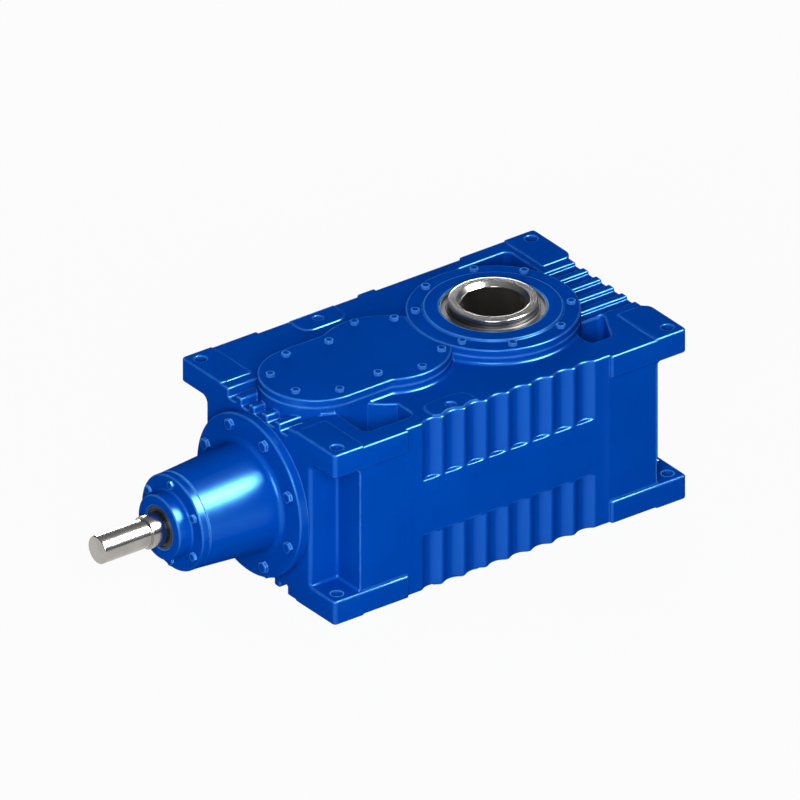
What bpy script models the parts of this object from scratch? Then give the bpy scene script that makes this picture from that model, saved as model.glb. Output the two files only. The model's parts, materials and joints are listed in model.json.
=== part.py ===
"""A right-angle gear unit with a hollow output shaft, at its real size in metres.

Power comes in along x, turns the corner through a bevel pair and goes down two spur
stages to a hollow shaft. The casting's own frame has x = 0 on the input-end face, y = 0
on the middle plane and z = 0 under the feet. An empty moves that frame so that the
scene's origin is under the middle of the whole unit.
"""

import math

import bmesh
import bpy
from mathutils import Matrix

# Clearances
SEAT_GAP = 0.0003  # between pieces that touch
RUNNING_GAP = 0.0004  # between a turning piece and what it turns in
CHAMBER_GAP = 0.0060  # between a wheel and the chamber wall around it
BACKLASH = 0.0004  # play between meshing teeth, along the pitch circle

# Gears
PRESSURE_ANGLE = math.radians(20)
ADDENDUM_SHIFT = 0.3  # long-addendum pinions, so that few teeth need no undercut
DEDENDUM = 1.25  # root depth in modules
BEVEL_PINION_TEETH = 15
BEVEL_WHEEL_TEETH = 36
BEVEL_WHEEL_RADIUS = 0.044  # pitch radius at the large end
BEVEL_FACE = 0.014
BEVEL_BACK = 0.008  # solid metal behind the teeth
FIRST_PINION_TEETH = 13
SECOND_WHEEL_TEETH = 38
SECOND_PINION_TEETH = 16
OUTPUT_WHEEL_TEETH = 41
FIRST_CENTRES = 0.1010
SECOND_CENTRES = 0.1553
PINION_OVERHANG = 0.002  # a pinion is this much wider than its wheel at each side

# Shafts, as radii
FIRST_X = 0.082  # first vertical shaft, from the input-end face
FIRST_SEAT = 0.015
FIRST_WHEEL_SEAT = 0.018
SECOND_SEAT = 0.020
SECOND_WHEEL_SEAT = 0.024
SHAFT_SHOULDER = 0.005  # shoulder height above a wheel seat
HOLLOW_BORE = 0.0375
HOLLOW_SEAT = 0.0525
HOLLOW_WHEEL_SEAT = 0.056
HOLLOW_RISE = 0.0118  # above the output cover's plate
HOLLOW_CHAMFER = 0.002
HOLLOW_MOUTH = 0.005  # chamfer of the bore's mouths
BORE_KEY_WIDTH = 0.020
BORE_KEY_DEPTH = 0.0049
INPUT_SEAT = 0.020
INPUT_END_RADIUS = 0.0172
INPUT_END_LENGTH = 0.067
INPUT_COLLAR_LENGTH = 0.022  # part of the bearing seat that shows outside the seal boss
INPUT_END_CHAMFER = 0.0015
INPUT_HEAD_RADIUS = 0.0225
INPUT_HEAD_LENGTH = 0.010
INPUT_STOP_RADIUS = 0.026

# Keys, with half of their height in the shaft
BEVEL_KEY_WIDTH = 0.010
BEVEL_KEY_HEIGHT = 0.008
SECOND_KEY_WIDTH = 0.014
SECOND_KEY_HEIGHT = 0.009
OUTPUT_KEY_WIDTH = 0.028
OUTPUT_KEY_HEIGHT = 0.014
KEY_END_LAND = 0.004  # the key stops this far inside each side of its wheel

# Bearings, as outer radius and width; each one's bore follows its shaft
FIRST_BEARING_RADIUS = 0.031
FIRST_BEARING_WIDTH = 0.016
SECOND_BEARING_RADIUS = 0.040
SECOND_BEARING_WIDTH = 0.018
OUTPUT_BEARING_RADIUS = 0.0725
OUTPUT_BEARING_WIDTH = 0.020
INPUT_BEARING_RADIUS = 0.040
INPUT_BEARING_WIDTH = 0.020

# Casting
HOUSING_WIDTH = 0.2945  # over the side pads
HOUSING_HEIGHT = 0.2235
FAR_WALL = 0.0465  # chamber to the far end pads
PAD_RISE = 0.0015  # pads above the plain top and bottom faces
SIDE_PAD_RISE = 0.00425  # pads proud of the long walls
SIDE_PAD_LENGTH = 0.108
FAR_PAD_RISE = 0.0065  # pads proud of the far end face
FOOT_THICKNESS = 0.031
NOTCH_LENGTH = 0.040
NOTCH_FILLET = 0.010
NOTCH_WIDTH = 0.04725
CORNER_PAD_LENGTH = 0.044
CORNER_PAD_WIDTH = 0.076
MID_PAD_X = 0.182
MID_PAD_LENGTH = 0.064
MID_PAD_WIDTH = 0.034
FOOT_HOLE_RADIUS = 0.007
FOOT_HOLE_END = 0.0157  # hole centre from the end face
FOOT_HOLE_SIDE = 0.01625  # hole centre from the side pad face
FOOT_HOLE_DEPTH = 0.028  # of the blind holes under the middle pads
FLUTES = 8
FLUTE_MARGIN = 0.0195
FLUTE_LAND = 0.0049
FLUTE_DEPTH = 0.005
UPPER_FLUTE = 0.0775
LOWER_FLUTE = 0.0730
BACK_RIM = 0.012  # plain rim above and below the back wall's flutes
BACK_LUG_X = 0.2645
BACK_LUG_LENGTH = 0.025
BACK_LUG_HEIGHT = 0.008
RIBS = 4  # at each end
RIB_WIDTH = 0.0105
RIB_PITCH = 0.0247
RIB_FIELD = 0.114  # width of the ribbed zone at each end
NEAR_RECESS_DEPTH = 0.012
NEAR_RECESS_LENGTH = 0.048
NEAR_RIB_DROP = 0.0025  # rib tops below the plain faces
FAR_GROOVE_DEPTH = 0.0045
POCKET_DEPTH = 0.060
POCKET_NEAR_START = 0.065
POCKET_NEAR_END = 0.135
POCKET_NEAR_WALL = 0.023  # metal between the near pocket and the long wall's face
POCKET_WALL_RADIUS = 0.100  # of the round chamber wall that shows in the near pocket
POCKET_FAR_START = 0.060  # from the output axis
POCKET_FAR_END = 0.053  # from the far end pads
POCKET_FAR_WALL = 0.036
POCKET_FAR_SLANT = 0.026
POCKET_BACK_START = 0.039  # from the output axis
POCKET_BACK_WALL = 0.017
TOP_WALL = 0.026
BOSS_RISE = 0.0092
BOSS_ROOT = 0.062  # depth of the bosses below the plain top

# Covers and their bolts
COVER_THICKNESS = 0.0097
LEDGE_SHARE = 0.545  # share of the wall beside the chamber that the bottom cover rests on
FIRST_LOBE = 0.0663
LOBE_STEP = 0.0107
OUTPUT_BOSS = 0.1012
SPIGOT_LENGTH = 0.009
OUTPUT_HUB = 0.081
OUTPUT_HUB_RISE = 0.0028
SEAL_SECTION = 0.0097  # radial size of the output seals
OUTPUT_SEAL_WIDTH = 0.010
BOTTOM_COVER_THICKNESS = 0.014
BOTTOM_COVER_SUNK = 0.0005
BEARING_BOSS_WALL = 0.009
FIRST_LOBE_BOLT_EDGE = 0.0145
SECOND_LOBE_BOLT_EDGE = 0.0115
OUTPUT_BOLT_EDGE = 0.0108
FIRST_LOBE_BOLTS = (93, 152)  # degrees from +x, repeated at the other side
SECOND_LOBE_BOLTS = (44, 86, 134)
OUTPUT_BOLTS = (30, 67.5, 112.5, 150)
COVER_BOLT_RADIUS = 0.003
COVER_BOLT_FLATS = 0.010
COVER_BOLT_HEAD = 0.004
COVER_BOLT_GRIP = 0.016  # thread in the casting
HOLE_END_GAP = 0.002  # a blind hole is this much deeper than its bolt

# Input cartridge, measured out from the input-end face
FLANGE_RADIUS = 0.100
FLANGE_THICKNESS = 0.0131
INPUT_SPIGOT = 0.060
INPUT_SPIGOT_LENGTH = 0.020
INPUT_BORE_DEPTH = 0.060
CONE_ROOT = 0.066
CONE_TIP = 0.059
CONE_REACH = 0.112
FLANGE_BOLT_EDGE = 0.014
FLANGE_BOLTS = 8
FLANGE_BOLT_RADIUS = 0.004
FLANGE_BOLT_FLATS = 0.013
FLANGE_BOLT_HEAD = 0.0053
REAR_BEARING_SHOULDER = 0.014
CARTRIDGE_WALL_STEP = 0.005  # shoulder that the input bearings sit against
NOSE_PLATE = 0.011
NOSE_BOSS_RADIUS = 0.040
NOSE_BOSS_LENGTH = 0.019
NOSE_SPIGOT_LENGTH = 0.006
NOSE_BOLT_EDGE = 0.009
NOSE_BOLTS = 6
NOSE_BOLT_GRIP = 0.012
INPUT_SEAL_SECTION = 0.006
INPUT_SEAL_WIDTH = 0.008
SEAL_INSET = 0.0005  # seals lie this far inside their mouths

# Facets
SMALL_SIDES = 6
SHAFT_SIDES = 20
ROUND_SIDES = 32
CHAMBER_STEPS = 24  # along the output circle's share of the chamber wall
LEDGE_STEPS = 21  # along the bottom cover's, odd so that its corners miss the chamber's
FIRST_LOBE_STEPS = 13
SECOND_LOBE_STEPS = 7  # on each side
COVER_HOLLOW_STEPS = 8
POCKET_WALL_STEPS = 5
NOTCH_STEPS = 2
FOOT_HOLE_SIDES = 12
SMOOTH_ANGLE = math.radians(32)
WELD = 0.00001
OVERCUT = 0.010  # how far a cutter runs past the face it opens

# Sizes worked out from those above
HALF_WIDTH = HOUSING_WIDTH / 2
WALL_Y = HALF_WIDTH - SIDE_PAD_RISE
WHEEL_ADDENDUM = 1 - ADDENDUM_SHIFT
FIRST_MODULE = 2 * FIRST_CENTRES / (FIRST_PINION_TEETH + SECOND_WHEEL_TEETH)
SECOND_MODULE = 2 * SECOND_CENTRES / (SECOND_PINION_TEETH + OUTPUT_WHEEL_TEETH)
BEVEL_MODULE = 2 * BEVEL_WHEEL_RADIUS / BEVEL_WHEEL_TEETH
SECOND_X = FIRST_X + FIRST_CENTRES
OUTPUT_X = SECOND_X + SECOND_CENTRES
SECOND_WHEEL_TIP = FIRST_MODULE * (SECOND_WHEEL_TEETH / 2 + WHEEL_ADDENDUM)
OUTPUT_WHEEL_TIP = SECOND_MODULE * (OUTPUT_WHEEL_TEETH / 2 + WHEEL_ADDENDUM)
CHAMBER = (
    BEVEL_WHEEL_RADIUS + BEVEL_MODULE + CHAMBER_GAP,
    SECOND_WHEEL_TIP + CHAMBER_GAP,
    OUTPUT_WHEEL_TIP + CHAMBER_GAP,
)
COVER_LEDGE = LEDGE_SHARE * (WALL_Y - FLUTE_DEPTH - CHAMBER[2])
HOUSING_LENGTH = OUTPUT_X + CHAMBER[2] + FAR_WALL
FAR_FACE = HOUSING_LENGTH - FAR_PAD_RISE
INPUT_Z = HOUSING_HEIGHT / 2
PLAIN_TOP = HOUSING_HEIGHT - PAD_RISE
CEILING = PLAIN_TOP - TOP_WALL
BOSS_TOP = PLAIN_TOP + BOSS_RISE
COVER_SEAT = BOSS_TOP + SEAT_GAP
COVER_TOP = COVER_SEAT + COVER_THICKNESS
SECOND_LOBE = FIRST_LOBE + LOBE_STEP
UPPER_BEARING_TOP = BOSS_TOP - SPIGOT_LENGTH
FLOOR_LOW = PAD_RISE + BOTTOM_COVER_SUNK
FLOOR = FLOOR_LOW + BOTTOM_COVER_THICKNESS
LOWER_BEARING = FLOOR + SEAT_GAP
NOSE_FACE = -CONE_REACH - NOSE_PLATE
BOSS_FACE = NOSE_FACE - NOSE_BOSS_LENGTH
COLLAR_END = BOSS_FACE - INPUT_COLLAR_LENGTH
INPUT_TIP = COLLAR_END - INPUT_END_LENGTH
CENTRE_X = (HOUSING_LENGTH + INPUT_TIP) / 2
REAR_BEARING = -REAR_BEARING_SHOULDER + SEAT_GAP
INPUT_STOP = REAR_BEARING + INPUT_BEARING_WIDTH + RUNNING_GAP
FRONT_BEARING = -CONE_REACH + NOSE_SPIGOT_LENGTH + 2 * SEAT_GAP
FRONT_SHOULDER = FRONT_BEARING + INPUT_BEARING_WIDTH + SEAT_GAP
OUTPUT_SEAL_OUTER = HOLLOW_SEAT + SEAL_SECTION
INPUT_SEAL_OUTER = INPUT_SEAT + INPUT_SEAL_SECTION

# Heights of the gear faces, clear of the bevel pair and of the walls
BEVEL_PINION_RADIUS = BEVEL_WHEEL_RADIUS * BEVEL_PINION_TEETH / BEVEL_WHEEL_TEETH
BEVEL_CONE = math.hypot(BEVEL_WHEEL_RADIUS, BEVEL_PINION_RADIUS)
SECOND_WHEEL_LOW = INPUT_Z + BEVEL_PINION_RADIUS + 2 * CHAMBER_GAP
SECOND_WHEEL_HIGH = CEILING - 2 * CHAMBER_GAP
OUTPUT_WHEEL_LOW = LOWER_BEARING + OUTPUT_BEARING_WIDTH + CHAMBER_GAP
OUTPUT_WHEEL_HIGH = INPUT_Z - SEAT_GAP
CHAMBER_SPLIT = OUTPUT_WHEEL_HIGH + PINION_OVERHANG + CHAMBER_GAP


# Shapes
def box(low, high):
    """A block between two corners."""
    shape = bmesh.new()
    bmesh.ops.create_cube(shape, size=1)
    for axis in range(3):
        for vertex in shape.verts:
            share = vertex.co[axis] + 0.5
            vertex.co[axis] = low[axis] + share * (high[axis] - low[axis])
    return shape


def merged(shapes):
    """Several shapes that stand apart, as one."""
    whole = bmesh.new()
    for shape in shapes:
        mesh = bpy.data.meshes.new("part_of_shape")
        shape.to_mesh(mesh)
        shape.free()
        whole.from_mesh(mesh)
        bpy.data.meshes.remove(mesh)
    return whole


def cylinder(radius, low, high, centre=(0, 0), sides=ROUND_SIDES):
    """An upright cylinder around centre, with a corner of its outline on +x."""
    shape = bmesh.new()
    middle = Matrix.Translation((centre[0], centre[1], (low + high) / 2))
    turn = Matrix.Rotation(math.pi / 2, 4, "Z")
    bmesh.ops.create_cone(
        shape, cap_ends=True, segments=sides, radius1=radius, radius2=radius,
        depth=high - low, matrix=middle @ turn,
    )
    return shape


def prism(outlines, low, high):
    """Flat outlines, the later ones holes in the first, drawn up from low to high."""
    curve = bpy.data.curves.new("outline", "CURVE")
    curve.dimensions = "2D"
    curve.fill_mode = "BOTH"
    curve.extrude = (high - low) / 2
    for outline in outlines:
        spline = curve.splines.new("POLY")
        spline.points.add(len(outline) - 1)
        for point, (x, y) in zip(spline.points, outline):
            point.co = (x, y, 0, 1)
        spline.use_cyclic_u = True
    sketch = bpy.data.objects.new("outline", curve)
    bpy.context.scene.collection.objects.link(sketch)
    graph = bpy.context.evaluated_depsgraph_get()
    mesh = bpy.data.meshes.new_from_object(sketch.evaluated_get(graph))
    bpy.data.objects.remove(sketch)
    bpy.data.curves.remove(curve)
    shape = bmesh.new()
    shape.from_mesh(mesh)
    bpy.data.meshes.remove(mesh)
    bmesh.ops.remove_doubles(shape, verts=shape.verts, dist=WELD)
    bmesh.ops.translate(shape, verts=shape.verts, vec=(0, 0, (low + high) / 2))
    bmesh.ops.recalc_face_normals(shape, faces=shape.faces)
    return shape


def rounded(shape, radius, steps):
    """The same shape with all its edges rounded."""
    bmesh.ops.bevel(
        shape, geom=shape.edges[:], offset=radius, segments=steps, profile=0.5, affect="EDGES",
    )
    return shape


# Outlines
def arc(centre_x, radius, start, end, steps):
    """Points on a circle around (centre_x, 0), from one angle to another."""
    angles = [start + (end - start) * step / steps for step in range(steps + 1)]
    return [(centre_x + radius * math.cos(a), radius * math.sin(a)) for a in angles]


def lobes(first, second, third):
    """The path around the first two shafts, from one crossing with the output circle to the other."""
    leave = math.acos((SECOND_CENTRES**2 + second**2 - third**2) / (2 * SECOND_CENTRES * second))
    flank = math.pi - math.asin(first / second)
    path = arc(SECOND_X, second, leave, flank, SECOND_LOBE_STEPS)
    path += arc(FIRST_X, first, math.pi / 2, 3 * math.pi / 2, FIRST_LOBE_STEPS)
    path += arc(SECOND_X, second, -flank, -leave, SECOND_LOBE_STEPS)
    return path


def output_arc(second, third, steps, hollow):
    """The output circle's share of the outline, bulging out or, when hollow, cut in."""
    meet = math.acos((SECOND_CENTRES**2 + third**2 - second**2) / (2 * SECOND_CENTRES * third))
    if hollow:
        return arc(OUTPUT_X, third, math.pi + meet, math.pi - meet, steps)[1:-1]
    return arc(OUTPUT_X, third, meet - math.pi, math.pi - meet, steps)[1:-1]


def chamber_outline(grow, steps):
    """The lower chamber seen from above, its walls moved out by grow."""
    first, second, third = (radius + grow for radius in CHAMBER)
    return lobes(first, second, third) + output_arc(second, third, steps, hollow=False)


def upper_chamber_outline():
    """The upper chamber seen from above, narrower around the output shaft to clear the pockets."""
    first, second, third = CHAMBER[0] - SEAT_GAP, CHAMBER[1] - SEAT_GAP, OUTPUT_BOSS - TOP_WALL / 2
    return lobes(first, second, third) + output_arc(second, third, LEDGE_STEPS, hollow=False)


def cover_outline(third):
    """The two-lobe cover or boss, as far as a circle of radius third around the output shaft."""
    path = lobes(FIRST_LOBE, SECOND_LOBE, third)
    return path + output_arc(SECOND_LOBE, third, COVER_HOLLOW_STEPS, hollow=True)


def keyed_bore(radius, key, sides=SHAFT_SIDES):
    """A wheel's bore with a slot for half of its key, on +x."""
    half = key[0] / 2 + SEAT_GAP
    start = math.asin(half / radius)
    slot = radius + key[1] / 2 + SEAT_GAP
    return arc(0, radius, start, 2 * math.pi - start, sides) + [(slot, -half), (slot, half)]


# Gear teeth
def involute(angle):
    return math.tan(angle) - angle


def tooth_flank(teeth, module, shift):
    """One flank as (radius, half angle of the tooth) from root to tip, straight on a wheel's teeth."""
    pitch = teeth * module / 2
    base = pitch * math.cos(PRESSURE_ANGLE)
    root = pitch - module * (DEDENDUM - shift)
    tip = pitch + module * (1 + shift)
    half = (math.pi / 2 + 2 * shift * math.tan(PRESSURE_ANGLE)) / teeth - BACKLASH / (4 * pitch)
    flank = []
    radii = (root, (max(root, base) + tip) / 2, tip) if shift > 0 else (root, tip)
    for radius in radii:
        angle = math.acos(min(1, base / radius))
        flank.append((radius, half + involute(PRESSURE_ANGLE) - involute(angle)))
    return flank


def toothed(flank, teeth, phase):
    """Every tooth's two flanks in turn, as (radius, angle), with a tooth centred on phase."""
    points = []
    for tooth in range(teeth):
        middle = phase + 2 * math.pi * tooth / teeth
        points += [(radius, middle - half) for radius, half in flank]
        points += [(radius, middle + half) for radius, half in reversed(flank)]
    return points


def gear_outline(teeth, module, shift, phase):
    points = toothed(tooth_flank(teeth, module, shift), teeth, phase)
    return [(radius * math.cos(angle), radius * math.sin(angle)) for radius, angle in points]


def bevel_gear(teeth, mate, shift, phase, apex, back, small_end_up):
    """A straight bevel gear on z whose cone ends in a point at height apex, above the gear.

    Tooth heights are laid along the back cone, and the small end is the large end drawn
    towards the apex. small_end_up says on which side of the small end its flat face lies.
    """
    slope = math.atan2(teeth, mate)
    lean = math.cos(slope)
    pitch = teeth * BEVEL_MODULE / 2
    flank = tooth_flank(teeth / lean, BEVEL_MODULE, shift)
    flank = [(radius, half / lean) for radius, half in flank]
    large = []
    for radius, angle in toothed(flank, teeth, phase):
        height = radius - pitch / lean
        reach = pitch + height * lean
        down = pitch / math.tan(slope) - height * math.sin(slope)
        large.append((reach * math.cos(angle), reach * math.sin(angle), -down))
    shrink = 1 - BEVEL_FACE / BEVEL_CONE
    small = [(x * shrink, y * shrink, z * shrink) for x, y, z in large]
    heights = [z for x, y, z in small]
    front = max(heights) + SEAT_GAP if small_end_up else min(heights) - SEAT_GAP
    rings = [[(x, y, -back) for x, y, z in large], large, small, [(x, y, front) for x, y, z in small]]
    shape = bmesh.new()
    rings = [[shape.verts.new((x, y, z + apex)) for x, y, z in ring] for ring in rings]
    for below, above in zip(rings, rings[1:]):
        for here in range(len(below)):
            after = (here + 1) % len(below)
            shape.faces.new((below[here], below[after], above[after], above[here]))
    shape.faces.new(rings[0])
    shape.faces.new(rings[-1])
    bmesh.ops.recalc_face_normals(shape, faces=shape.faces)
    return shape


# Objects
def collection(name):
    made = bpy.data.collections.new(name)
    bpy.context.scene.collection.children.link(made)
    return made


def empty(name, parent=None, location=(0, 0, 0), rotation=(0, 0, 0)):
    made = bpy.data.objects.new(name, None)
    made.location = location
    made.rotation_euler = rotation
    made.parent = parent
    PARTS.objects.link(made)
    return made


def finish(name, colour, roughness, metallic):
    made = bpy.data.materials.new(name)
    made.use_nodes = True
    shader = made.node_tree.nodes["Principled BSDF"]
    shader.inputs["Base Color"].default_value = (*colour, 1)
    shader.inputs["Roughness"].default_value = roughness
    shader.inputs["Metallic"].default_value = metallic
    return made


def place(name, shape, parent, material=None):
    """An object from a shape: a part when it has a material, and otherwise a cutter."""
    mesh = bpy.data.meshes.new(name)
    shape.to_mesh(mesh)
    shape.free()
    made = bpy.data.objects.new(name, mesh)
    made.parent = parent
    if material:
        mesh.materials.append(material)
        PARTS.objects.link(made)
    else:
        CUTTERS.objects.link(made)
        made.hide_render = True
        made.display_type = "WIRE"
    return made


def turned(name, profile, parent, material=None, sides=ROUND_SIDES):
    """A closed profile of (radius, height) points, outer side first from the top down, spun around z."""
    shape = bmesh.new()
    points = [shape.verts.new((radius, 0, height)) for radius, height in profile]
    solid = profile[0][0] == 0
    for here in range(len(points) - (1 if solid else 0)):
        shape.edges.new((points[here], points[(here + 1) % len(points)]))
    made = place(name, shape, parent, material)
    spin = made.modifiers.new("spin", "SCREW")
    spin.angle = 2 * math.pi
    spin.steps = sides
    spin.render_steps = sides
    spin.use_merge_vertices = True
    spin.merge_threshold = WELD
    return made


def ring(name, inner, outer, low, high, parent, material, sides=ROUND_SIDES):
    profile = [(outer, high), (outer, low), (inner, low), (inner, high)]
    return turned(name, profile, parent, material, sides)


def boolean(target, tool, operation):
    step = target.modifiers.new(tool.name, "BOOLEAN")
    step.operation = operation
    step.solver = "EXACT"
    step.object = tool


def cut(target, name, shape, parent):
    boolean(target, place(name, shape, parent), "DIFFERENCE")


def join(target, name, shape, parent):
    boolean(target, place(name, shape, parent), "UNION")


def settle(made):
    """Makes the modifiers' result the object's own mesh, shaded smooth between sharp edges."""
    graph = bpy.context.evaluated_depsgraph_get()
    mesh = bpy.data.meshes.new_from_object(made.evaluated_get(graph))
    made.modifiers.clear()
    made.data = mesh
    mesh.shade_smooth()
    mesh.set_sharp_from_angle(angle=SMOOTH_ANGLE)


def both_sides(degrees):
    """Angles in radians, each one and its mirror image about the middle plane."""
    return [math.radians(sign * angle) for angle in degrees for sign in (1, -1)]


def around(centre_x, radius, angles):
    return [(centre_x + radius * math.cos(a), radius * math.sin(a)) for a in angles]


def holes(places, radius, low, high, sides=SMALL_SIDES):
    return merged([cylinder(radius, low, high, centre, sides) for centre in places])


def bolts(name, places, parent, seat, grip, size, outward):
    """Hexagon bolts whose heads rest at height seat and whose shanks run back by grip."""
    radius, flats, head = size
    for number, (x, y) in enumerate(places, 1):
        top = seat + outward * (SEAT_GAP + head)
        under = seat + outward * SEAT_GAP
        corner = flats / math.sqrt(3)
        hexagon = cylinder(corner, min(top, under), max(top, under), (x, y), 6)
        end = seat - outward * grip
        inside = under + outward * head / 2
        bolt = place(f"{name}_{number}", hexagon, parent, PAINT)
        shank = cylinder(radius, min(end, inside), max(end, inside), (x, y), SMALL_SIDES)
        join(bolt, f"{name}_{number}_shank", shank, parent)


# Casting
def pads():
    """Raised blocks: side pads and corner pads at the corners, and a small lug on the back rim."""
    top = HOUSING_HEIGHT
    sunk = SIDE_PAD_RISE + FLUTE_DEPTH
    blocks = []
    for side in (1, -1):
        for start, end in ((0, SIDE_PAD_LENGTH), (HOUSING_LENGTH - SIDE_PAD_LENGTH, HOUSING_LENGTH)):
            across = sorted((side * HALF_WIDTH, side * (HALF_WIDTH - CORNER_PAD_WIDTH)))
            outer = sorted((side * HALF_WIDTH, side * (WALL_Y - sunk)))
            corner = start if start == 0 else HOUSING_LENGTH - CORNER_PAD_LENGTH
            foot = (0, FOOT_THICKNESS)
            head = (top - FOOT_THICKNESS, top)
            for low, high in (foot, head):
                blocks.append(box((corner, across[0], low), (corner + CORNER_PAD_LENGTH, across[1], high)))
                side_low = max(low, PAD_RISE)
                blocks.append(box((start, outer[0], side_low), (end, outer[1], min(high, PLAIN_TOP))))
    lug = BACK_LUG_X - BACK_LUG_LENGTH / 2
    low = (lug, WALL_Y - sunk, PLAIN_TOP - BACK_LUG_HEIGHT)
    blocks.append(box(low, (lug + BACK_LUG_LENGTH, HALF_WIDTH, PLAIN_TOP)))
    return blocks


def middle_pads():
    blocks = []
    for side in (1, -1):
        across = sorted((side * (WALL_Y - FLUTE_DEPTH / 2), side * (WALL_Y - MID_PAD_WIDTH)))
        for low, high in ((PLAIN_TOP - PAD_RISE, HOUSING_HEIGHT), (0, 2 * PAD_RISE)):
            start = MID_PAD_X - MID_PAD_LENGTH / 2
            blocks.append(box((start, across[0], low), (start + MID_PAD_LENGTH, across[1], high)))
    return blocks


def notches():
    """The openings above the feet at the four corners, where a spanner reaches the foot bolts."""
    shapes = []
    low = FOOT_THICKNESS
    high = HOUSING_HEIGHT - FOOT_THICKNESS
    reach = HALF_WIDTH + OVERCUT + NOTCH_FILLET
    outside = OVERCUT + NOTCH_FILLET
    for side in (1, -1):
        across = sorted((side * (HALF_WIDTH - NOTCH_WIDTH), side * reach))
        far = (HOUSING_LENGTH - NOTCH_LENGTH, HOUSING_LENGTH + outside)
        for start, end in ((-outside, NOTCH_LENGTH), far):
            block = box((start, across[0], low), (end, across[1], high))
            shapes.append(rounded(block, NOTCH_FILLET, NOTCH_STEPS))
    return shapes


def flutes():
    """Upright round-bottomed channels in two rows; on the back wall they stop short of the rims."""
    field = HOUSING_LENGTH - 2 * SIDE_PAD_LENGTH - 2 * FLUTE_MARGIN
    pitch = field / FLUTES
    half = (pitch - FLUTE_LAND) / 2
    radius = (half**2 + FLUTE_DEPTH**2) / (2 * FLUTE_DEPTH)
    start = SIDE_PAD_LENGTH + FLUTE_MARGIN + pitch / 2
    shapes = []
    for side in (1, -1):
        rim = BACK_RIM if side > 0 else -OVERCUT
        for number in range(FLUTES):
            centre = (start + number * pitch, side * (WALL_Y - FLUTE_DEPTH + radius))
            for low, high in (
                (HOUSING_HEIGHT - UPPER_FLUTE, HOUSING_HEIGHT - rim),
                (rim, LOWER_FLUTE),
            ):
                shapes.append(cylinder(radius, low, high, centre, SHAFT_SIDES))
    return shapes


def rib_places():
    return [RIB_PITCH * (number - (RIBS - 1) / 2) for number in range(RIBS)]


def near_recesses():
    """The ribbed zones above and below the input flange, before the ribs are put back."""
    half = RIB_FIELD / 2
    shapes = []
    for low, high in (
        (PLAIN_TOP - NEAR_RECESS_DEPTH, HOUSING_HEIGHT + OVERCUT),
        (-OVERCUT, PAD_RISE + NEAR_RECESS_DEPTH),
    ):
        shapes.append(box((-OVERCUT, -half, low), (NEAR_RECESS_LENGTH, half, high)))
    return shapes


def near_ribs():
    shapes = []
    sunk = NEAR_RECESS_DEPTH + FOOT_THICKNESS / 2
    for y in rib_places():
        for low, high in (
            (PLAIN_TOP - sunk, PLAIN_TOP - NEAR_RIB_DROP),
            (PAD_RISE + NEAR_RIB_DROP, PAD_RISE + sunk),
        ):
            start = (SEAT_GAP, y - RIB_WIDTH / 2, low)
            shapes.append(box(start, (NEAR_RECESS_LENGTH + RIB_WIDTH, y + RIB_WIDTH / 2, high)))
    return shapes


def far_grooves():
    """Shallow grooves from the output boss to the far end, which leave four ribs standing."""
    edges = [-RIB_FIELD / 2]
    for y in rib_places():
        edges += [y - RIB_WIDTH / 2, y + RIB_WIDTH / 2]
    edges.append(RIB_FIELD / 2)
    shapes = []
    for left, right in zip(edges[::2], edges[1::2]):
        low = (OUTPUT_X, left, PLAIN_TOP - FAR_GROOVE_DEPTH)
        shapes.append(box(low, (HOUSING_LENGTH + OVERCUT, right, HOUSING_HEIGHT + OVERCUT)))
    return shapes


def pockets():
    """Three deep cast pockets in the top face, beside the bosses."""
    inner = FIRST_LOBE - BOSS_RISE
    wall = POCKET_WALL_RADIUS
    near_side = WALL_Y - POCKET_NEAR_WALL
    far_side = WALL_Y - POCKET_FAR_WALL
    back_side = WALL_Y - POCKET_BACK_WALL
    start = math.pi + math.asin(inner / wall)
    end = math.pi + math.acos((SECOND_X - POCKET_NEAR_END) / wall)
    near = [(POCKET_NEAR_START, -near_side), (POCKET_NEAR_START, -inner)]
    near += arc(SECOND_X, wall, start, end, POCKET_WALL_STEPS)
    near.append((POCKET_NEAR_END, -near_side))
    right = HOUSING_LENGTH - POCKET_FAR_END
    left = OUTPUT_X + POCKET_FAR_START
    front = [(left, -far_side), (left, -inner), (right, -inner)]
    front.append((right - POCKET_FAR_SLANT, -far_side))
    left = OUTPUT_X + POCKET_BACK_START
    back = [(left, inner), (left, back_side), (right, back_side), (right, inner)]
    low = PLAIN_TOP - POCKET_DEPTH
    return [prism([outline], low, HOUSING_HEIGHT + OVERCUT) for outline in (near, front, back)]


def foot_holes():
    shapes = []
    for side in (1, -1):
        y = side * (HALF_WIDTH - FOOT_HOLE_SIDE)
        for x in (FOOT_HOLE_END, HOUSING_LENGTH - FOOT_HOLE_END):
            through = (-OVERCUT, HOUSING_HEIGHT + OVERCUT)
            shapes.append(cylinder(FOOT_HOLE_RADIUS, *through, (x, y), FOOT_HOLE_SIDES))
        for low, high in (
            (HOUSING_HEIGHT - FOOT_HOLE_DEPTH, HOUSING_HEIGHT + OVERCUT),
            (-OVERCUT, FOOT_HOLE_DEPTH),
        ):
            shapes.append(cylinder(FOOT_HOLE_RADIUS, low, high, (MID_PAD_X, y), FOOT_HOLE_SIDES))
    return shapes


def upper_bores():
    """The bearing seats in the top wall, each over a narrower hole that its shaft passes."""
    shapes = []
    for x, seat, bearing in UPRIGHT_BEARINGS:
        outer, width = bearing
        shoulder = UPPER_BEARING_TOP - width - SEAT_GAP
        shapes.append(("bearing_seat", cylinder(outer + SEAT_GAP, shoulder, COVER_TOP, (x, 0))))
        neck = (seat + outer) / 2
        shapes.append(("shaft_hole", cylinder(neck, CEILING - OVERCUT, COVER_TOP, (x, 0), SHAFT_SIDES)))
    return shapes


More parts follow.
